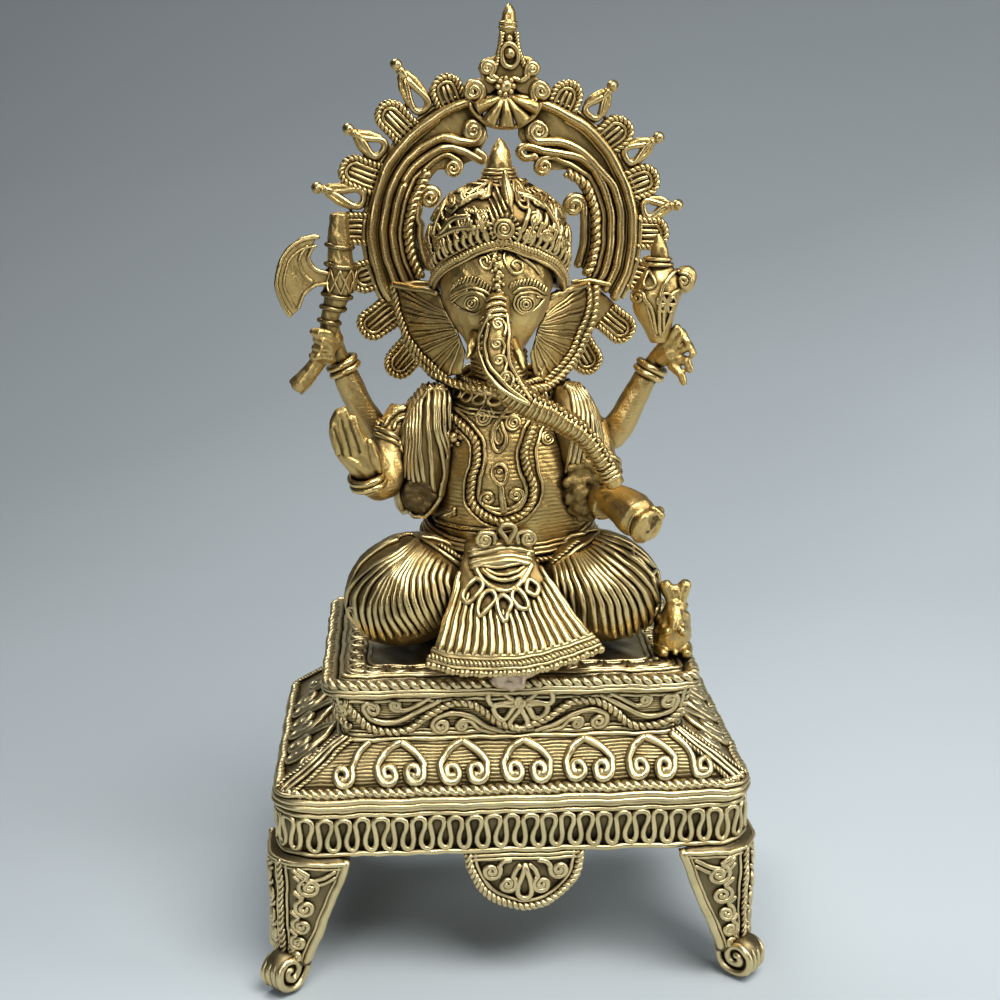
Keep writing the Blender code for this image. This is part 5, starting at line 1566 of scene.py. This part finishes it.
EAR_EDGES = {"right": (((-21, -6.5, 213.6), (-17.6, -9, 208.5), (-15.2, -9.5, 201.5), (-12.4, -9, 194.5),
                        (-13.6, -7, 187.3)),
                       ((-34.8, 6, 214.8), (-33.6, 5.8, 207), (-30.8, 4.6, 199), (-26.2, 1.8, 192),
                        (-18.5, -4, 186))),
             "left": (((14.8, -6.5, 212.4), (11.8, -9, 207), (9.6, -9.5, 201), (7.8, -9, 194),
                       (9, -7, 186.6)),
                      ((27.2, 6, 214.4), (27.4, 6, 206.6), (24.6, 4.6, 198.8), (20.2, 1.8, 190.8),
                       (12.8, -5, 184.6)))}


def ear(label):
    surface = body("ear_form_" + label, "ear_" + label, body_brass, voxel=0.45, rounds=3, swell=0.05)
    inner, outer = (smooth(rows) for rows in EAR_EDGES[label])
    clay = Clay()
    focus = inner[len(inner) // 2] + vec(0, -0.2, 1.5)
    clay.rope(pressed(surface, outer + vec(0, -1.0, 0), 0.35), 1.25, pitch=3.4)
    clay.bar(pressed(surface, evenly(np.vstack([inner[:1], outer[:1]]), 1.0)[0] + vec(0, -1.5, 0), 0.3), 1.1)
    for t in np.linspace(0.02, 0.98, 13):
        end = outer[int(t * (len(outer) - 1))] + vec(0, -1.5, 0)
        start = focus * 0.7 + inner[int(t * (len(inner) - 1))] * 0.3
        line = start + (end - start) * np.linspace(0.0, 0.97, 16)[:, None]
        clay.bar(pressed(surface, line + vec(0, -2.0, 0), 0.12), np.linspace(0.30, 0.62, 16), 6)
    threads("ear_ribs_" + label, clay, thread_brass)


def crown():
    surface = body("crown_ground", "crown_dome", rib_ground, voxel=0.6, rounds=5, swell=0.0)
    place = around_axis(surface, CROWN[0], CROWN[1])
    drawn = seen(surface, -20.0)
    clay = Clay()
    for side in (-1, 1):
        for turn, z, r, hand in ((74, 238.5, 2.6, -1), (104, 240.0, 2.7, 1), (134, 238.5, 2.6, -1),
                                 (165, 240.0, 2.7, 1), (66, 229.5, 2.0, 1), (90, 231.0, 2.5, 1),
                                 (120, 231.0, 2.5, -1), (150, 231.0, 2.5, 1), (176, 232.0, 2.2, -1)):
            spiral = curl(0, 0, r, 90, 1.8, hand)
            lead = [(-hand * r * 1.6, -r * 1.2), (-hand * r * 1.2, r * 0.6)]
            rows = lead_in(lead, spiral, 5)
            clay.bar(place([(side * (turn + u * 3.0), z + v) for u, v in rows], 0.7), 0.85, 6)
        for row, (gap, tall) in enumerate(((2.4, 3.6), (5.6, 3.4), (9.0, 3.0))):
            for turn in np.arange(15 + 4 * row, 178, 7.0 + row):
                low = float(crown_base(turn)[2]) + gap
                wave = [(side * turn, low), (side * (turn + 2.6), low + tall * 0.5),
                        (side * (turn + 1.8 + 2 * row), low + tall)]
                clay.bar(place(smooth(wave, 4), 0.6), 0.86, 6)
        for turn in range(22, 180, 9):
            clay.bar(place([(side * (turn - 3), 244.4), (side * turn, 245.4), (side * (turn + 3), 243.4)],
                           0.5), 0.6, 6)
        for turn in range(20, 180, 7):
            clay.bead(place([(side * turn, 235.2 - 2.0 * math.sin(math.radians(turn)))], 0.3)[0], 0.8)
    for z, r in ((245.8, 0.8), (246.9, 0.7)):
        clay.bar(place([(t, z) for t in range(0, 360, 8)], 0.3), r, 6, closed=True)
    for k in range(7):
        high = (-2.6 - 0.85 * k, 247.4 - 1.9 * k)
        clay.bar(drawn([high, (high[0] + 1.5, high[1] - 3.6), (high[0] + 2.4, high[1] - 6.4)], 0.8), 0.5, 6)
    clay.bar(drawn(teardrop(-5.0, 247.6, 5.6, 2.8, -118), 0.9), 0.75, 6, closed=True)
    for grow, r in ((1.0, 0.62), (0.55, 0.5)):
        loop = smooth(((1.5, 247.2), (4.4, 244.4), (5.9, 240.4), (3.9, 240.2), (2.2, 243.2)), 6, closed=True)
        clay.bar(drawn((loop - (3.6, 243.6)) * grow + (3.6, 243.6), 0.8), r, 6, closed=True)
    for stops in (((4.6, 248.5), (9.8, 246.9), (14.0, 243.2), (16.6, 238.5), (17.9, 232.3)),
                  ((3.4, 247.2), (8.6, 246.0), (12.4, 242.9), (13.6, 238.6), (13.9, 234.6)),
                  ((-7.4, 248.2), (-14.2, 245.6), (-19.0, 239.4), (-21.4, 232.8)),
                  ((-19.6, 233.0), (-16.0, 236.6), (-11.6, 237.4)),
                  ((-20.4, 231.6), (-15.0, 234.2), (-9.6, 234.4))):
        clay.bar(drawn(smooth(stops, 6), 0.8), 0.95)
    for x, z, r, start, hand in ((-11.8, 242.6, 1.8, 90, 1), (-13.6, 236.0, 1.7, 20, -1),
                                 (-7.8, 236.8, 1.7, 200, 1), (7.6, 236.6, 1.9, 120, -1),
                                 (11.4, 231.6, 1.8, 60, 1), (5.6, 231.8, 1.5, 0, -1),
                                 (-7.4, 243.6, 1.5, 0, -1)):
        clay.bar(drawn(curl(x, z, r, start, 1.7, hand), 0.7), 0.7, 6)
    clay.bar(drawn(scroll([(5.0, 246.8), (8.6, 246.6), (11.4, 244.6)], 8.9, 242.0, 2.1, 20, 1.8, -1), 0.7),
             0.62, 6)
    clay.bar(drawn(scroll([(11.9, 241.1), (13.0, 238.6)], 15.0, 236.4, 1.9, 150, 1.8, -1), 0.7), 0.62, 6)
    clay.bar(drawn(scroll([(-18.6, 237.0), (-19.4, 240.6)], -16.7, 241.5, 1.9, 170, 1.8, -1), 0.7), 0.62, 6)
    clay.rope(drawn(smooth([(-12.4, 239.4), (-9.0, 238.4), (-6.2, 238.6)], 6), 0.7), 0.8, pitch=1.9)
    for x in (-18.4, -14.8, -11.6, -8.8, -6.0):
        clay.bead(drawn([(x, 233.0 + 0.18 * (x + 18))], 0.6)[0], 1.05)
    threads("crown_threads", clay, thread_brass)

    clay = Clay()
    leaf = []
    for t in np.linspace(0, 1, 14):
        swell = math.sin(math.pi * min(1.0, 0.12 + t * 0.86)) ** 0.8
        wide = 1.9 * swell * (0.35 + 0.65 * (1 - abs(t - 0.62)))
        z = 251.4 - 13.0 * t
        leaf.append([(-1.0 + 2.0 * t + wide * math.cos(k), -15.4 - 6.0 * t + 0.9 * math.sin(k), z)
                     for k in circle(10)])
    clay.loft(leaf)
    clay.bar([(-0.9, -16.6, 250.0), (0.0, -19.2, 245.0), (0.8, -21.4, 239.5)], 0.45, 6)
    clay.bead((-1.4, -22.2, 234.0), 3.7, 0.45)
    pane = upright(-23.4)
    clay.bar(pane(curl(-1.4, 234.0, 3.0, 200, 2.6, -1, inner=0.1), 0.3), 0.5, 6)
    for turn in range(0, 360, 20):
        a = math.radians(turn)
        clay.bar([(-1.4 + r * math.cos(a), -22.6, 234.0 + r * math.sin(a)) for r in (3.5, 4.4)], 0.5, 6)
    threads("crown_leaf", clay, thread_brass, "crown_rosette")

    body("finial_form", "crown_finial", body_brass, voxel=0.45, rounds=6, swell=0.1)
    clay = Clay()
    for z, r in ((247.2, 5.0), (248.3, 5.1), (249.6, 4.9), (250.6, 4.3)):
        clay.bar(level_ring(-1.5, -4.5, z, r, 24), 0.6, 6, closed=True)
    threads("finial_rings", clay, thread_brass)

    clay = Clay()
    clay.bar(crown_line(0.95, -0.6), 1.6, 8, closed=True)
    clay.bar(crown_line(0.99, 1.5), 0.68, closed=True)
    clay.bar(crown_line(0.985, -2.3), 0.68, closed=True)
    clay.rope(crown_line(1.02, -0.4), 1.05, pitch=2.3, closed=True)
    threads("headband_threads", clay, thread_brass, "headband")


# ---------------------------------------------------------------- arms and what they hold

def cuff(clay, centre, along, radius, bar=1.15, gap=1.15):
    along = unit(along)
    a = unit(np.cross(along, (0, 1, 0.3)))
    b = np.cross(along, a)
    for offset in (-gap, gap):
        clay.bar([np.array(centre) + along * offset + radius * (a * math.cos(t) + b * math.sin(t))
                  for t in circle(26)], bar, 8, closed=True)


def arms():
    surfaces = {label: body(label + "_form", label, arm_brass, voxel=0.6, rounds=7, swell=0.1)
                for label in ("rear_arm_right", "rear_arm_left", "front_arm_right", "front_arm_left")}
    for name, centre, along, radius in (("rear_bracelet_right", (-51.0, 2.9, 189.1), (-3.4, -0.4, 7.5),
                                         4.4),
                                        ("rear_bracelet_left", (47.2, 2.9, 186.7), (3.7, -0.4, 7.8), 4.4),
                                        ("front_bracelet_right", (-43.6, -19.8, 157.4), (-1.2, -1.5, 5.0),
                                         5.0)):
        clay = Clay()
        cuff(clay, centre, along, radius)
        cuff(clay, centre, along, radius - 1.2, 1.0, 0.2)
        threads(name + "_rings", clay, thread_brass, name)
    clay = Clay()
    drawn = seen(surfaces["front_arm_right"], -12.0)
    for stops, r in ((((-32.5, 181.6), (-36.5, 179.9), (-39.2, 176.4), (-39.8, 172.6)), 0.95),
                     (((-32.2, 178.6), (-35.4, 177.0), (-37.2, 173.6)), 0.9),
                     (((-32.0, 175.4), (-34.2, 173.8), (-35.2, 171.4)), 0.8),
                     (((-40.4, 171.8), (-36.2, 169.8), (-31.6, 166.4)), 0.85),
                     (((-40.4, 169.9), (-36.2, 167.9), (-31.6, 164.5)), 0.8)):
        clay.bar(drawn(smooth(stops, 7), 0.4), r, 8)
    cuff(clay, (30.4, -6.0, 156.8), (0, -7, -8), 6.2, 0.8, 1.0)
    threads("upper_arm_rings", clay, thread_brass)


def open_palm():
    """The raised front hand, leaf-shaped: the fingers lie side by side with shallow grooves between them."""
    clay = Clay()
    rows = ((158.0, -43.9, 4.3, 3.2, -19.6), (161.0, -44.6, 5.2, 2.9, -20.6),
            (164.5, -46.2, 6.2, 2.5, -21.3), (168.5, -47.8, 6.4, 2.1, -21.8),
            (172.5, -49.4, 5.6, 1.9, -22.2), (176.0, -50.8, 4.2, 1.7, -22.4),
            (178.6, -51.2, 2.8, 1.5, -22.5), (180.4, -50.9, 1.3, 1.1, -22.5))
    rows = smooth(rows, 4)
    clay.loft([[(x + wide * math.cos(t), y + thick * math.sin(t), z) for t in circle(24)]
               for z, x, wide, thick, y in rows])
    for root_x, tip_x, tip_z, r in ((-51.9, -53.8, 175.6, 1.5), (-49.4, -52.2, 179.2, 1.6),
                                    (-46.8, -50.0, 180.0, 1.6), (-44.2, -47.6, 177.6, 1.5)):
        root = vec(root_x, -22.7, 166.6)
        tip = vec(tip_x, -22.8, tip_z)
        clay.bar([root, (root + tip) / 2 + vec(0, -0.2, 0), tip], (r * 0.9, r, r * 0.8), 10)
    clay.bar([vec(-40.4, -21.8, 161.4), vec(-41.0, -22.8, 165.6), vec(-42.6, -23.2, 170.2)],
             (2.0, 1.9, 1.2), 10)
    clay.bar([vec(-44.6, -21.8, 160.6), vec(-46.6, -22.8, 163.4), vec(-49.8, -22.9, 165.4)],
             (1.7, 1.8, 1.2), 10)
    surface = sculpture("open_hand", clay, body_brass, "front_hand_right", voxel=0.34, rounds=2)
    # Thin dark threads in the grooves between the fingers: painted shade, with patina.
    clay = Clay()
    for root, tip in (((-50.6, 165.8), (-53.2, 174.8)), ((-48.1, 166.0), (-51.1, 177.2)),
                      ((-45.5, 166.8), (-48.8, 177.2))):
        clay.bar(from_front(surface, -30.0)(smooth([root, tip]), 0.05), 0.3, 6)
    threads("palm_grooves", clay, hollow_shade_and_patina)


def mitten():
    """The lower front hand: a closed fist pointing down and out, its end parted like lips."""
    clay = Clay()
    wrist_to_end = smooth([(30.4, -19.0, 150.2), (34.0, -21.6, 149.2), (37.0, -24.4, 147.6),
                           (39.2, -27.0, 146.0), (40.4, -29.0, 145.0)], 6)
    girth = np.interp(np.linspace(0, 1, 25), (0, 0.3, 0.6, 0.85, 1), (4.3, 5.7, 6.7, 6.7, 5.4))
    clay.bar(wrist_to_end, girth, 24)
    outward = unit((0.56, -0.74, -0.38))
    across = unit(np.cross(outward, (-0.5, 0.1, 1.0)))
    upward = np.cross(across, outward)
    middle = vec(41.6, -30.6, 144.0)

    def end(turn, reach, out):
        return middle + outward * out + (across * math.cos(turn) + upward * math.sin(turn)) * reach

    lips = [end(TAU * k / 30, 4.8 + 0.7 * math.sin(TAU * k / 30 + 0.6) ** 2, 0.5) for k in range(30)]
    clay.bar(lips, 1.3, 8, closed=True)
    clay.bar([end(math.radians(a), 3.4, 0.9) for a in range(-90, 80, 16)], 1.6, 8)
    surface = sculpture("fist_form", clay, body_brass, "front_hand_left", voxel=0.5, rounds=3)
    clay = Clay()
    clay.bar(pressed(surface, [end(math.radians(a), 6.2, -1.8) for a in range(-170, 60, 12)], 0.15), 0.45)
    threads("fist_threads", clay, thread_brass)
    # Dark beads between the parted lips of the fist: painted shade of the hollow, with patina.
    clay = Clay()
    for k in range(5):
        clay.bead(end(math.radians(150), 1.3 * (k - 0.6), 1.3), 1.9 - 0.25 * abs(k - 2), 0.5, outward)
    threads("fist_hollow", clay, hollow_shade_and_patina)
    clay = Clay()
    for x, y, z, r in ((45.0, -30.4, 147.8, 1.8), (46.2, -30.2, 146.8, 1.6), (46.2, -29.0, 148.2, 1.6),
                       (43.8, -30.4, 148.8, 1.4)):
        clay.bead((x, y, z), r)
    sculpture("sweet_form", clay, body_brass, "sweet", voxel=0.35, rounds=2)


def axe():
    surface = body("axe_shaft_form", "axe_shaft", body_brass, voxel=0.5, rounds=5, swell=0.1)
    clay = Clay()
    shaft = np.array(((-51.2, -2.5, 237.6, 2.7), (-51.0, -2.5, 231.0, 3.4), (-50.6, -2.5, 224.0, 3.9),
                      (-50.7, -2.5, 218.0, 4.4), (-52.2, -2.6, 212.0, 4.0), (-54.0, -2.8, 206.5, 2.9),
                      (-55.4, -3.0, 200.0, 2.6)))
    for z in (227.6, 221.6, 212.2, 208.4, 204.2):
        row = [np.interp(z, shaft[::-1, 2], shaft[::-1, k]) for k in (0, 1, 3)]
        cuff(clay, (row[0], row[1], z), (0.15, 0, 1), row[2] + 0.35, 0.8, 0.0)
    net = around_axis(surface, -50.9, -2.5)
    for k in range(8):
        for hand in (-1, 1):
            clay.bar(net([(45 * k + hand * 45 * t, 220.4 - 7.0 * t) for t in np.linspace(0, 1, 8)], 0.25),
                     0.45, 6)
    threads("axe_shaft_rings", clay, thread_brass)
    body("axe_blade_form", "axe_blade", body_brass, voxel=0.45, rounds=4, swell=0.1)
    clay = Clay()
    edge = smooth(((-57.0, 231.2), (-62.5, 230.2), (-67.3, 226.6), (-70.4, 221.2), (-71.2, 215.8),
                   (-69.6, 210.2), (-66.8, 205.4)), 6)
    inner = smooth(((-64.2, 207.6), (-62.6, 212.0), (-58.4, 215.2), (-53.0, 215.8)), 6)
    upper = smooth(((-58.6, 228.6), (-60.4, 224.4), (-58.2, 220.6), (-53.0, 219.4)), 6)
    pane = upright(-4.3)
    middle = vec(-60.5, 217.6)
    clay.bar(pane(edge + (middle - edge) * 0.06, 0.1), 0.75)
    clay.bar(pane(edge + (middle - edge) * 0.27, 0.15), 0.5, 6)
    clay.bar(pane(inner + (middle - inner) * 0.12, 0.1), 0.7)
    clay.bar(pane(upper + (middle - upper) * 0.12, 0.1), 0.7)
    ridge = smooth([(-60.6, 227.6), (-63.2, 223.6), (-62.6, 219.6), (-59.6, 216.6)], 6)
    clay.bar(pane(ridge, 0.15), 0.55, 6)
    threads("axe_blade_threads", clay, thread_brass)


def rear_hands():
    clay = Clay()
    wrist = vec(-51.8, 2.2, 191.6)
    clay.bar([wrist, vec(-52.6, 0.6, 196.0), vec(-53.0, -1.4, 201.4), vec(-52.6, -2.6, 203.4)],
             (2.9, 2.3, 1.8, 1.3), 10)
    for k in range(4):
        z = 201.2 - 2.5 * k
        x = -58.8 - 0.9 * abs(k - 1.2)
        clay.bar([vec(-54.6, -4.6, z - 0.9), vec(x + 1.8, -6.6, z), vec(x, -5.6, z + 0.2)], (1.9, 1.6, 1.3),
                 9)
    clay.bar([vec(-53.2, -1.6, 198.4), vec(-56.4, -4.4, 197.0)], 3.2, 10)
    clay.bar([vec(-57.2, -3.6, 193.6), vec(-61.4, -4.0, 187.6), vec(-64.8, -4.4, 184.4)], (2.7, 2.9, 2.8),
             10)
    sculpture("axe_hand", clay, body_brass, "rear_hand_right", voxel=0.42, rounds=3)
    clay = Clay()
    clay.bar([vec(48.2, 2.2, 189.2), vec(50.6, 0.0, 194.0), vec(52.6, -2.6, 198.6), vec(54.4, -4.2, 201.6)],
             (2.9, 2.4, 1.9, 1.3), 10)
    clay.bar([vec(50.0, 0.6, 190.6), vec(52.6, -1.6, 193.0)], 3.0, 10)
    for x, z, r in ((57.4, 199.4, 1.5), (59.4, 195.0, 1.6), (58.8, 190.2, 1.6), (56.8, 186.2, 1.5)):
        clay.bar([vec(53.6, -2.4, 192.0 + (z - 192) * 0.45), vec(x - 0.9, -5.0, z + 0.6),
                  vec(x, -5.8, z - 2.2)], (2.0, r, r * 0.8), 9)
    sculpture("lotus_hand", clay, body_brass, "rear_hand_left", voxel=0.42, rounds=3)


def lotus():
    surface = body("lotus_form", "lotus_bud", body_brass, voxel=0.5, rounds=6, swell=0.1)
    drawn = from_front(surface)
    clay = Clay()
    for z, r in ((222.8, 4.0), (221.2, 4.3)):
        clay.bar(hoop((47.9, -3.5, z), r, r, 0, 24), 0.65, 6, closed=True)
    clay.bar(drawn(scroll([(47.4, 200.0), (45.6, 207.0), (43.6, 211.0)], 41.6, 211.4, 1.9, 30, 1.6), 0.6),
             0.65, 6)
    clay.bar(drawn(scroll([(48.4, 199.6), (47.6, 208.0), (49.0, 215.0), (52.6, 219.0)], 55.6, 216.2, 2.6,
                          120, 1.7, -1), 0.6), 0.7, 6)
    clay.bar(drawn(smooth([(49.6, 200.2), (49.0, 207.0), (50.8, 211.4), (53.6, 213.4)], 5), 0.5), 0.6, 6)
    clay.bar(drawn(teardrop(45.0, 219.4, 5.4, 3.0, -92), 0.6), 0.6, 6, closed=True)
    for turn in range(0, 360, 72):
        clay.bar(drawn(teardrop(50.0, 209.6, 3.0, 2.0, turn + 90), 0.6), 0.5, 6)
    for turn in (25, -25):
        clay.bar(drawn(smooth([(48.0 + turn * 0.03, 199.0), (48.0 + turn * 0.10, 204.0),
                               (48.0 + turn * 0.16, 209.0)], 5), 0.5), 0.5, 6)
    threads("lotus_threads", clay, thread_brass)


def mouse():
    """The rough little rat: a lumpy body, and ears that flare from the neck in a Y."""
    low = extent("mouse")[0]
    clay = Clay()
    clay.bar([(51.8, -24.0, low[2] + 3.4), (51.9, -24.2, 107.6), (52.0, -25.0, 112.4), (52.3, -25.6, 116.4)],
             (6.0, 6.2, 4.8, 3.2), 14)
    clay.bar([(52.2, -26.4, 114.6), (51.8, -29.4, 112.6), (51.4, -31.0, 111.0)], (3.0, 2.4, 1.4), 12)
    for side in (-1, 1):
        clay.bar([(52.4 + side * 0.9, -25.4, 115.6), (52.5 + side * 1.7, -25.0, 119.2),
                  (52.6 + side * 3.0, -24.4, 122.6)], (1.9, 2.1, 2.3), 10)
        clay.bar([(51.8 + side * 3.4, -28.0, 108.4), (51.8 + side * 2.2, -31.0, 109.8)], (1.8, 1.3), 8)
        clay.bar([(51.8 + side * 3.9, -26.5, low[2] + 2.4), (51.8 + side * 3.6, -30.2, low[2] + 1.8)],
                 (2.6, 1.8), 8)
    clay.bead((52.5, -24.8, 120.4), 2.9, 0.55)
    for k in range(30):
        turn, z = 2.4 * k, low[2] + 2.0 + 14.0 * ((k * 11) % 30) / 30
        reach = 5.4 - 2.2 * max(0.0, (z - 108) / 8)
        clay.bead((51.9 + reach * math.sin(turn), -24.4 - reach * math.cos(turn), z),
                  1.1 + 0.7 * ((k * 7) % 5) / 5)
    clay.bar([(55.6, -20.4, 103.4), (57.4, -19.8, 106.6), (57.0, -20.2, 111.0), (55.2, -21.4, 113.6)],
             (1.4, 1.3, 1.2, 1.0), 8)
    sculpture("mouse_form", clay, body_brass, "mouse", voxel=0.4, rounds=2)


def braze():
    """The pale smear of filler metal under the hem."""
    low, high = extent("braze_fillet")
    clay = Clay()
    centre = (low + high) / 2
    for k in range(26):
        a = 2.4 * k
        reach = 0.25 + 0.7 * ((k * 7) % 11) / 11
        spot = centre + vec(math.cos(a) * 5.4 * reach, -0.6 + math.sin(a * 1.7) * 0.7,
                            1.6 + math.sin(a) * 3.0 * reach)
        clay.bead(spot, 1.6 + 0.7 * ((k * 5) % 7) / 7, 0.8, (0.1, -1, 0.2))
    clay.bar([centre + vec(3.0, 0, 2.6), centre + vec(8.0, 0.4, 3.8)], (1.9, 1.0), 10)
    sculpture("braze_lump", clay, braze_metal, "braze_fillet", voxel=0.4, rounds=2)


for halo_label in (-1, 1):
    halo_bands(halo_label)
    halo_side(halo_label)
halo_top()
torso()
thigh("right")
thigh("left")
dhoti()
shawl("right", -1, 26.8, 143.0)
shawl("left", 1, 23.6, 148.0)
face()
trunk()
ear("right")
ear("left")
crown()
arms()
open_palm()
mitten()
axe()
rear_hands()
lotus()
mouse()
braze()


# ---------------------------------------------------------------- stage

def studio():
    stage = bpy.data.materials.new("paper")
    stage.use_nodes = True
    tree = stage.node_tree
    shader = tree.nodes["Principled BSDF"]
    shader.inputs["Roughness"].default_value = 0.85
    place = node(tree, "ShaderNodeTexCoord").outputs["Object"]
    cloud = noise(tree, place, 2.2, 2.0)
    split = node(tree, "ShaderNodeSeparateXYZ")
    tree.links.new(place, split.inputs["Vector"])
    # The backdrop's grey is painted darker towards the top, towards -X and towards the back: painted shade
    # of the light's fall-off, with a faint cloudy mottle of the paper's own tone.
    shade = split.outputs["Z"]
    for axis, share in (("X", -0.35), ("Y", 0.25)):
        shade = reckon(tree, "MULTIPLY_ADD", split.outputs[axis], share, shade)
    painted_falloff_and_mottle = reckon(tree, "MULTIPLY_ADD", cloud, 0.10, shade)
    tint = node(tree, "ShaderNodeValToRGB")
    stops = tint.color_ramp.elements
    for at in (0.16, 0.31, 0.56):
        stops.new(at)
    for stop, (at, grey) in zip(stops, ((0.05, 0.50), (0.16, 0.40), (0.31, 0.29), (0.56, 0.21),
                                        (0.86, 0.16))):
        stop.position = at
        stop.color = (grey, grey * 1.11, grey * 1.17, 1)
    tree.links.new(painted_falloff_and_mottle, tint.inputs["Fac"])
    tree.links.new(tint.outputs["Color"], shader.inputs["Base Color"])

    shape = bmesh.new()
    near, bend_at, bend, steps = -1.6, 0.34, 0.55, 12
    profile = [(near, 0.0), (bend_at, 0.0)]
    for i in range(1, steps + 1):
        a = math.radians(90 * i / steps)
        profile.append((bend_at + bend * math.sin(a), bend - bend * math.cos(a)))
    profile.append((bend_at + bend, 3.0))
    rows = [[shape.verts.new((x, y, z)) for x in (-3.0, 3.0)] for y, z in profile]
    for low, high in zip(rows, rows[1:]):
        shape.faces.new((low[0], low[1], high[1], high[0]))
    mesh = bpy.data.meshes.new("backdrop")
    shape.to_mesh(mesh)
    shape.free()
    mesh.shade_smooth()
    mesh.materials.append(stage)
    sweep = linked("backdrop", mesh)


def lamp(name, place, target, size, watts, colour=(1, 1, 1)):
    light = bpy.data.lights.new(name, "AREA")
    light.shape = "RECTANGLE"
    light.size, light.size_y = size
    light.energy = watts
    light.color = colour
    made = linked(name, light)
    made.location = place
    made.rotation_mode = "QUATERNION"
    made.rotation_quaternion = (Vector(target) - Vector(place)).to_track_quat("-Z", "Y")


def lights():
    world = bpy.data.worlds.new("room")
    bpy.context.scene.world = world
    world.use_nodes = True
    tree = world.node_tree
    back = tree.nodes["Background"]
    heading = node(tree, "ShaderNodeTexCoord").outputs["Generated"]
    split = node(tree, "ShaderNodeSeparateXYZ")
    tree.links.new(heading, split.inputs["Vector"])
    ramp = node(tree, "ShaderNodeValToRGB")
    floor_stop, sky_stop = ramp.color_ramp.elements
    floor_stop.position, floor_stop.color = 0.30, (0.030, 0.028, 0.026, 1)
    sky_stop.position, sky_stop.color = 0.92, (0.50, 0.55, 0.62, 1)
    tree.links.new(split.outputs["Z"], ramp.inputs["Fac"])
    tree.links.new(ramp.outputs["Color"], back.inputs["Color"])
    back.inputs["Strength"].default_value = 0.46
    lamp("window", (0.30, -0.55, 1.05), (0, 0, 0.14), (0.75, 0.55), 14.0, (1.0, 0.985, 0.95))
    lamp("side", (1.15, -0.35, 0.55), (0, 0, 0.12), (0.45, 0.9), 5.0, (0.96, 0.98, 1.0))
    lamp("front", (-0.45, -1.15, 0.55), (0, 0, 0.14), (0.35, 0.55), 2.6, (0.97, 0.98, 1.0))
    lamp("crown_light", (-0.25, 0.35, 0.95), (0, 0, 0.2), (0.4, 0.3), 3.0)


def camera():
    """The viewpoint: a little left of the middle, above the halo's height, looking down at the throne."""
    made = linked("camera", bpy.data.cameras.new("camera"))
    made.data.sensor_width = 36.0
    made.data.lens = 57.85
    yaw, pitch, roll = 0.0605, 0.255, -0.00245
    heading = Vector((math.sin(yaw) * math.cos(pitch), math.cos(yaw) * math.cos(pitch), -math.sin(pitch)))
    turn = heading.to_track_quat("-Z", "Y").to_matrix().to_4x4() @ Matrix.Rotation(roll, 4, "Z")
    made.matrix_world = Matrix.Translation(EYE * MM) @ turn
    made.data.clip_start, made.data.clip_end = 0.01, 20
    bpy.context.scene.camera = made


studio()
lights()
camera()
bpy.context.scene.view_settings.view_transform = "Standard"
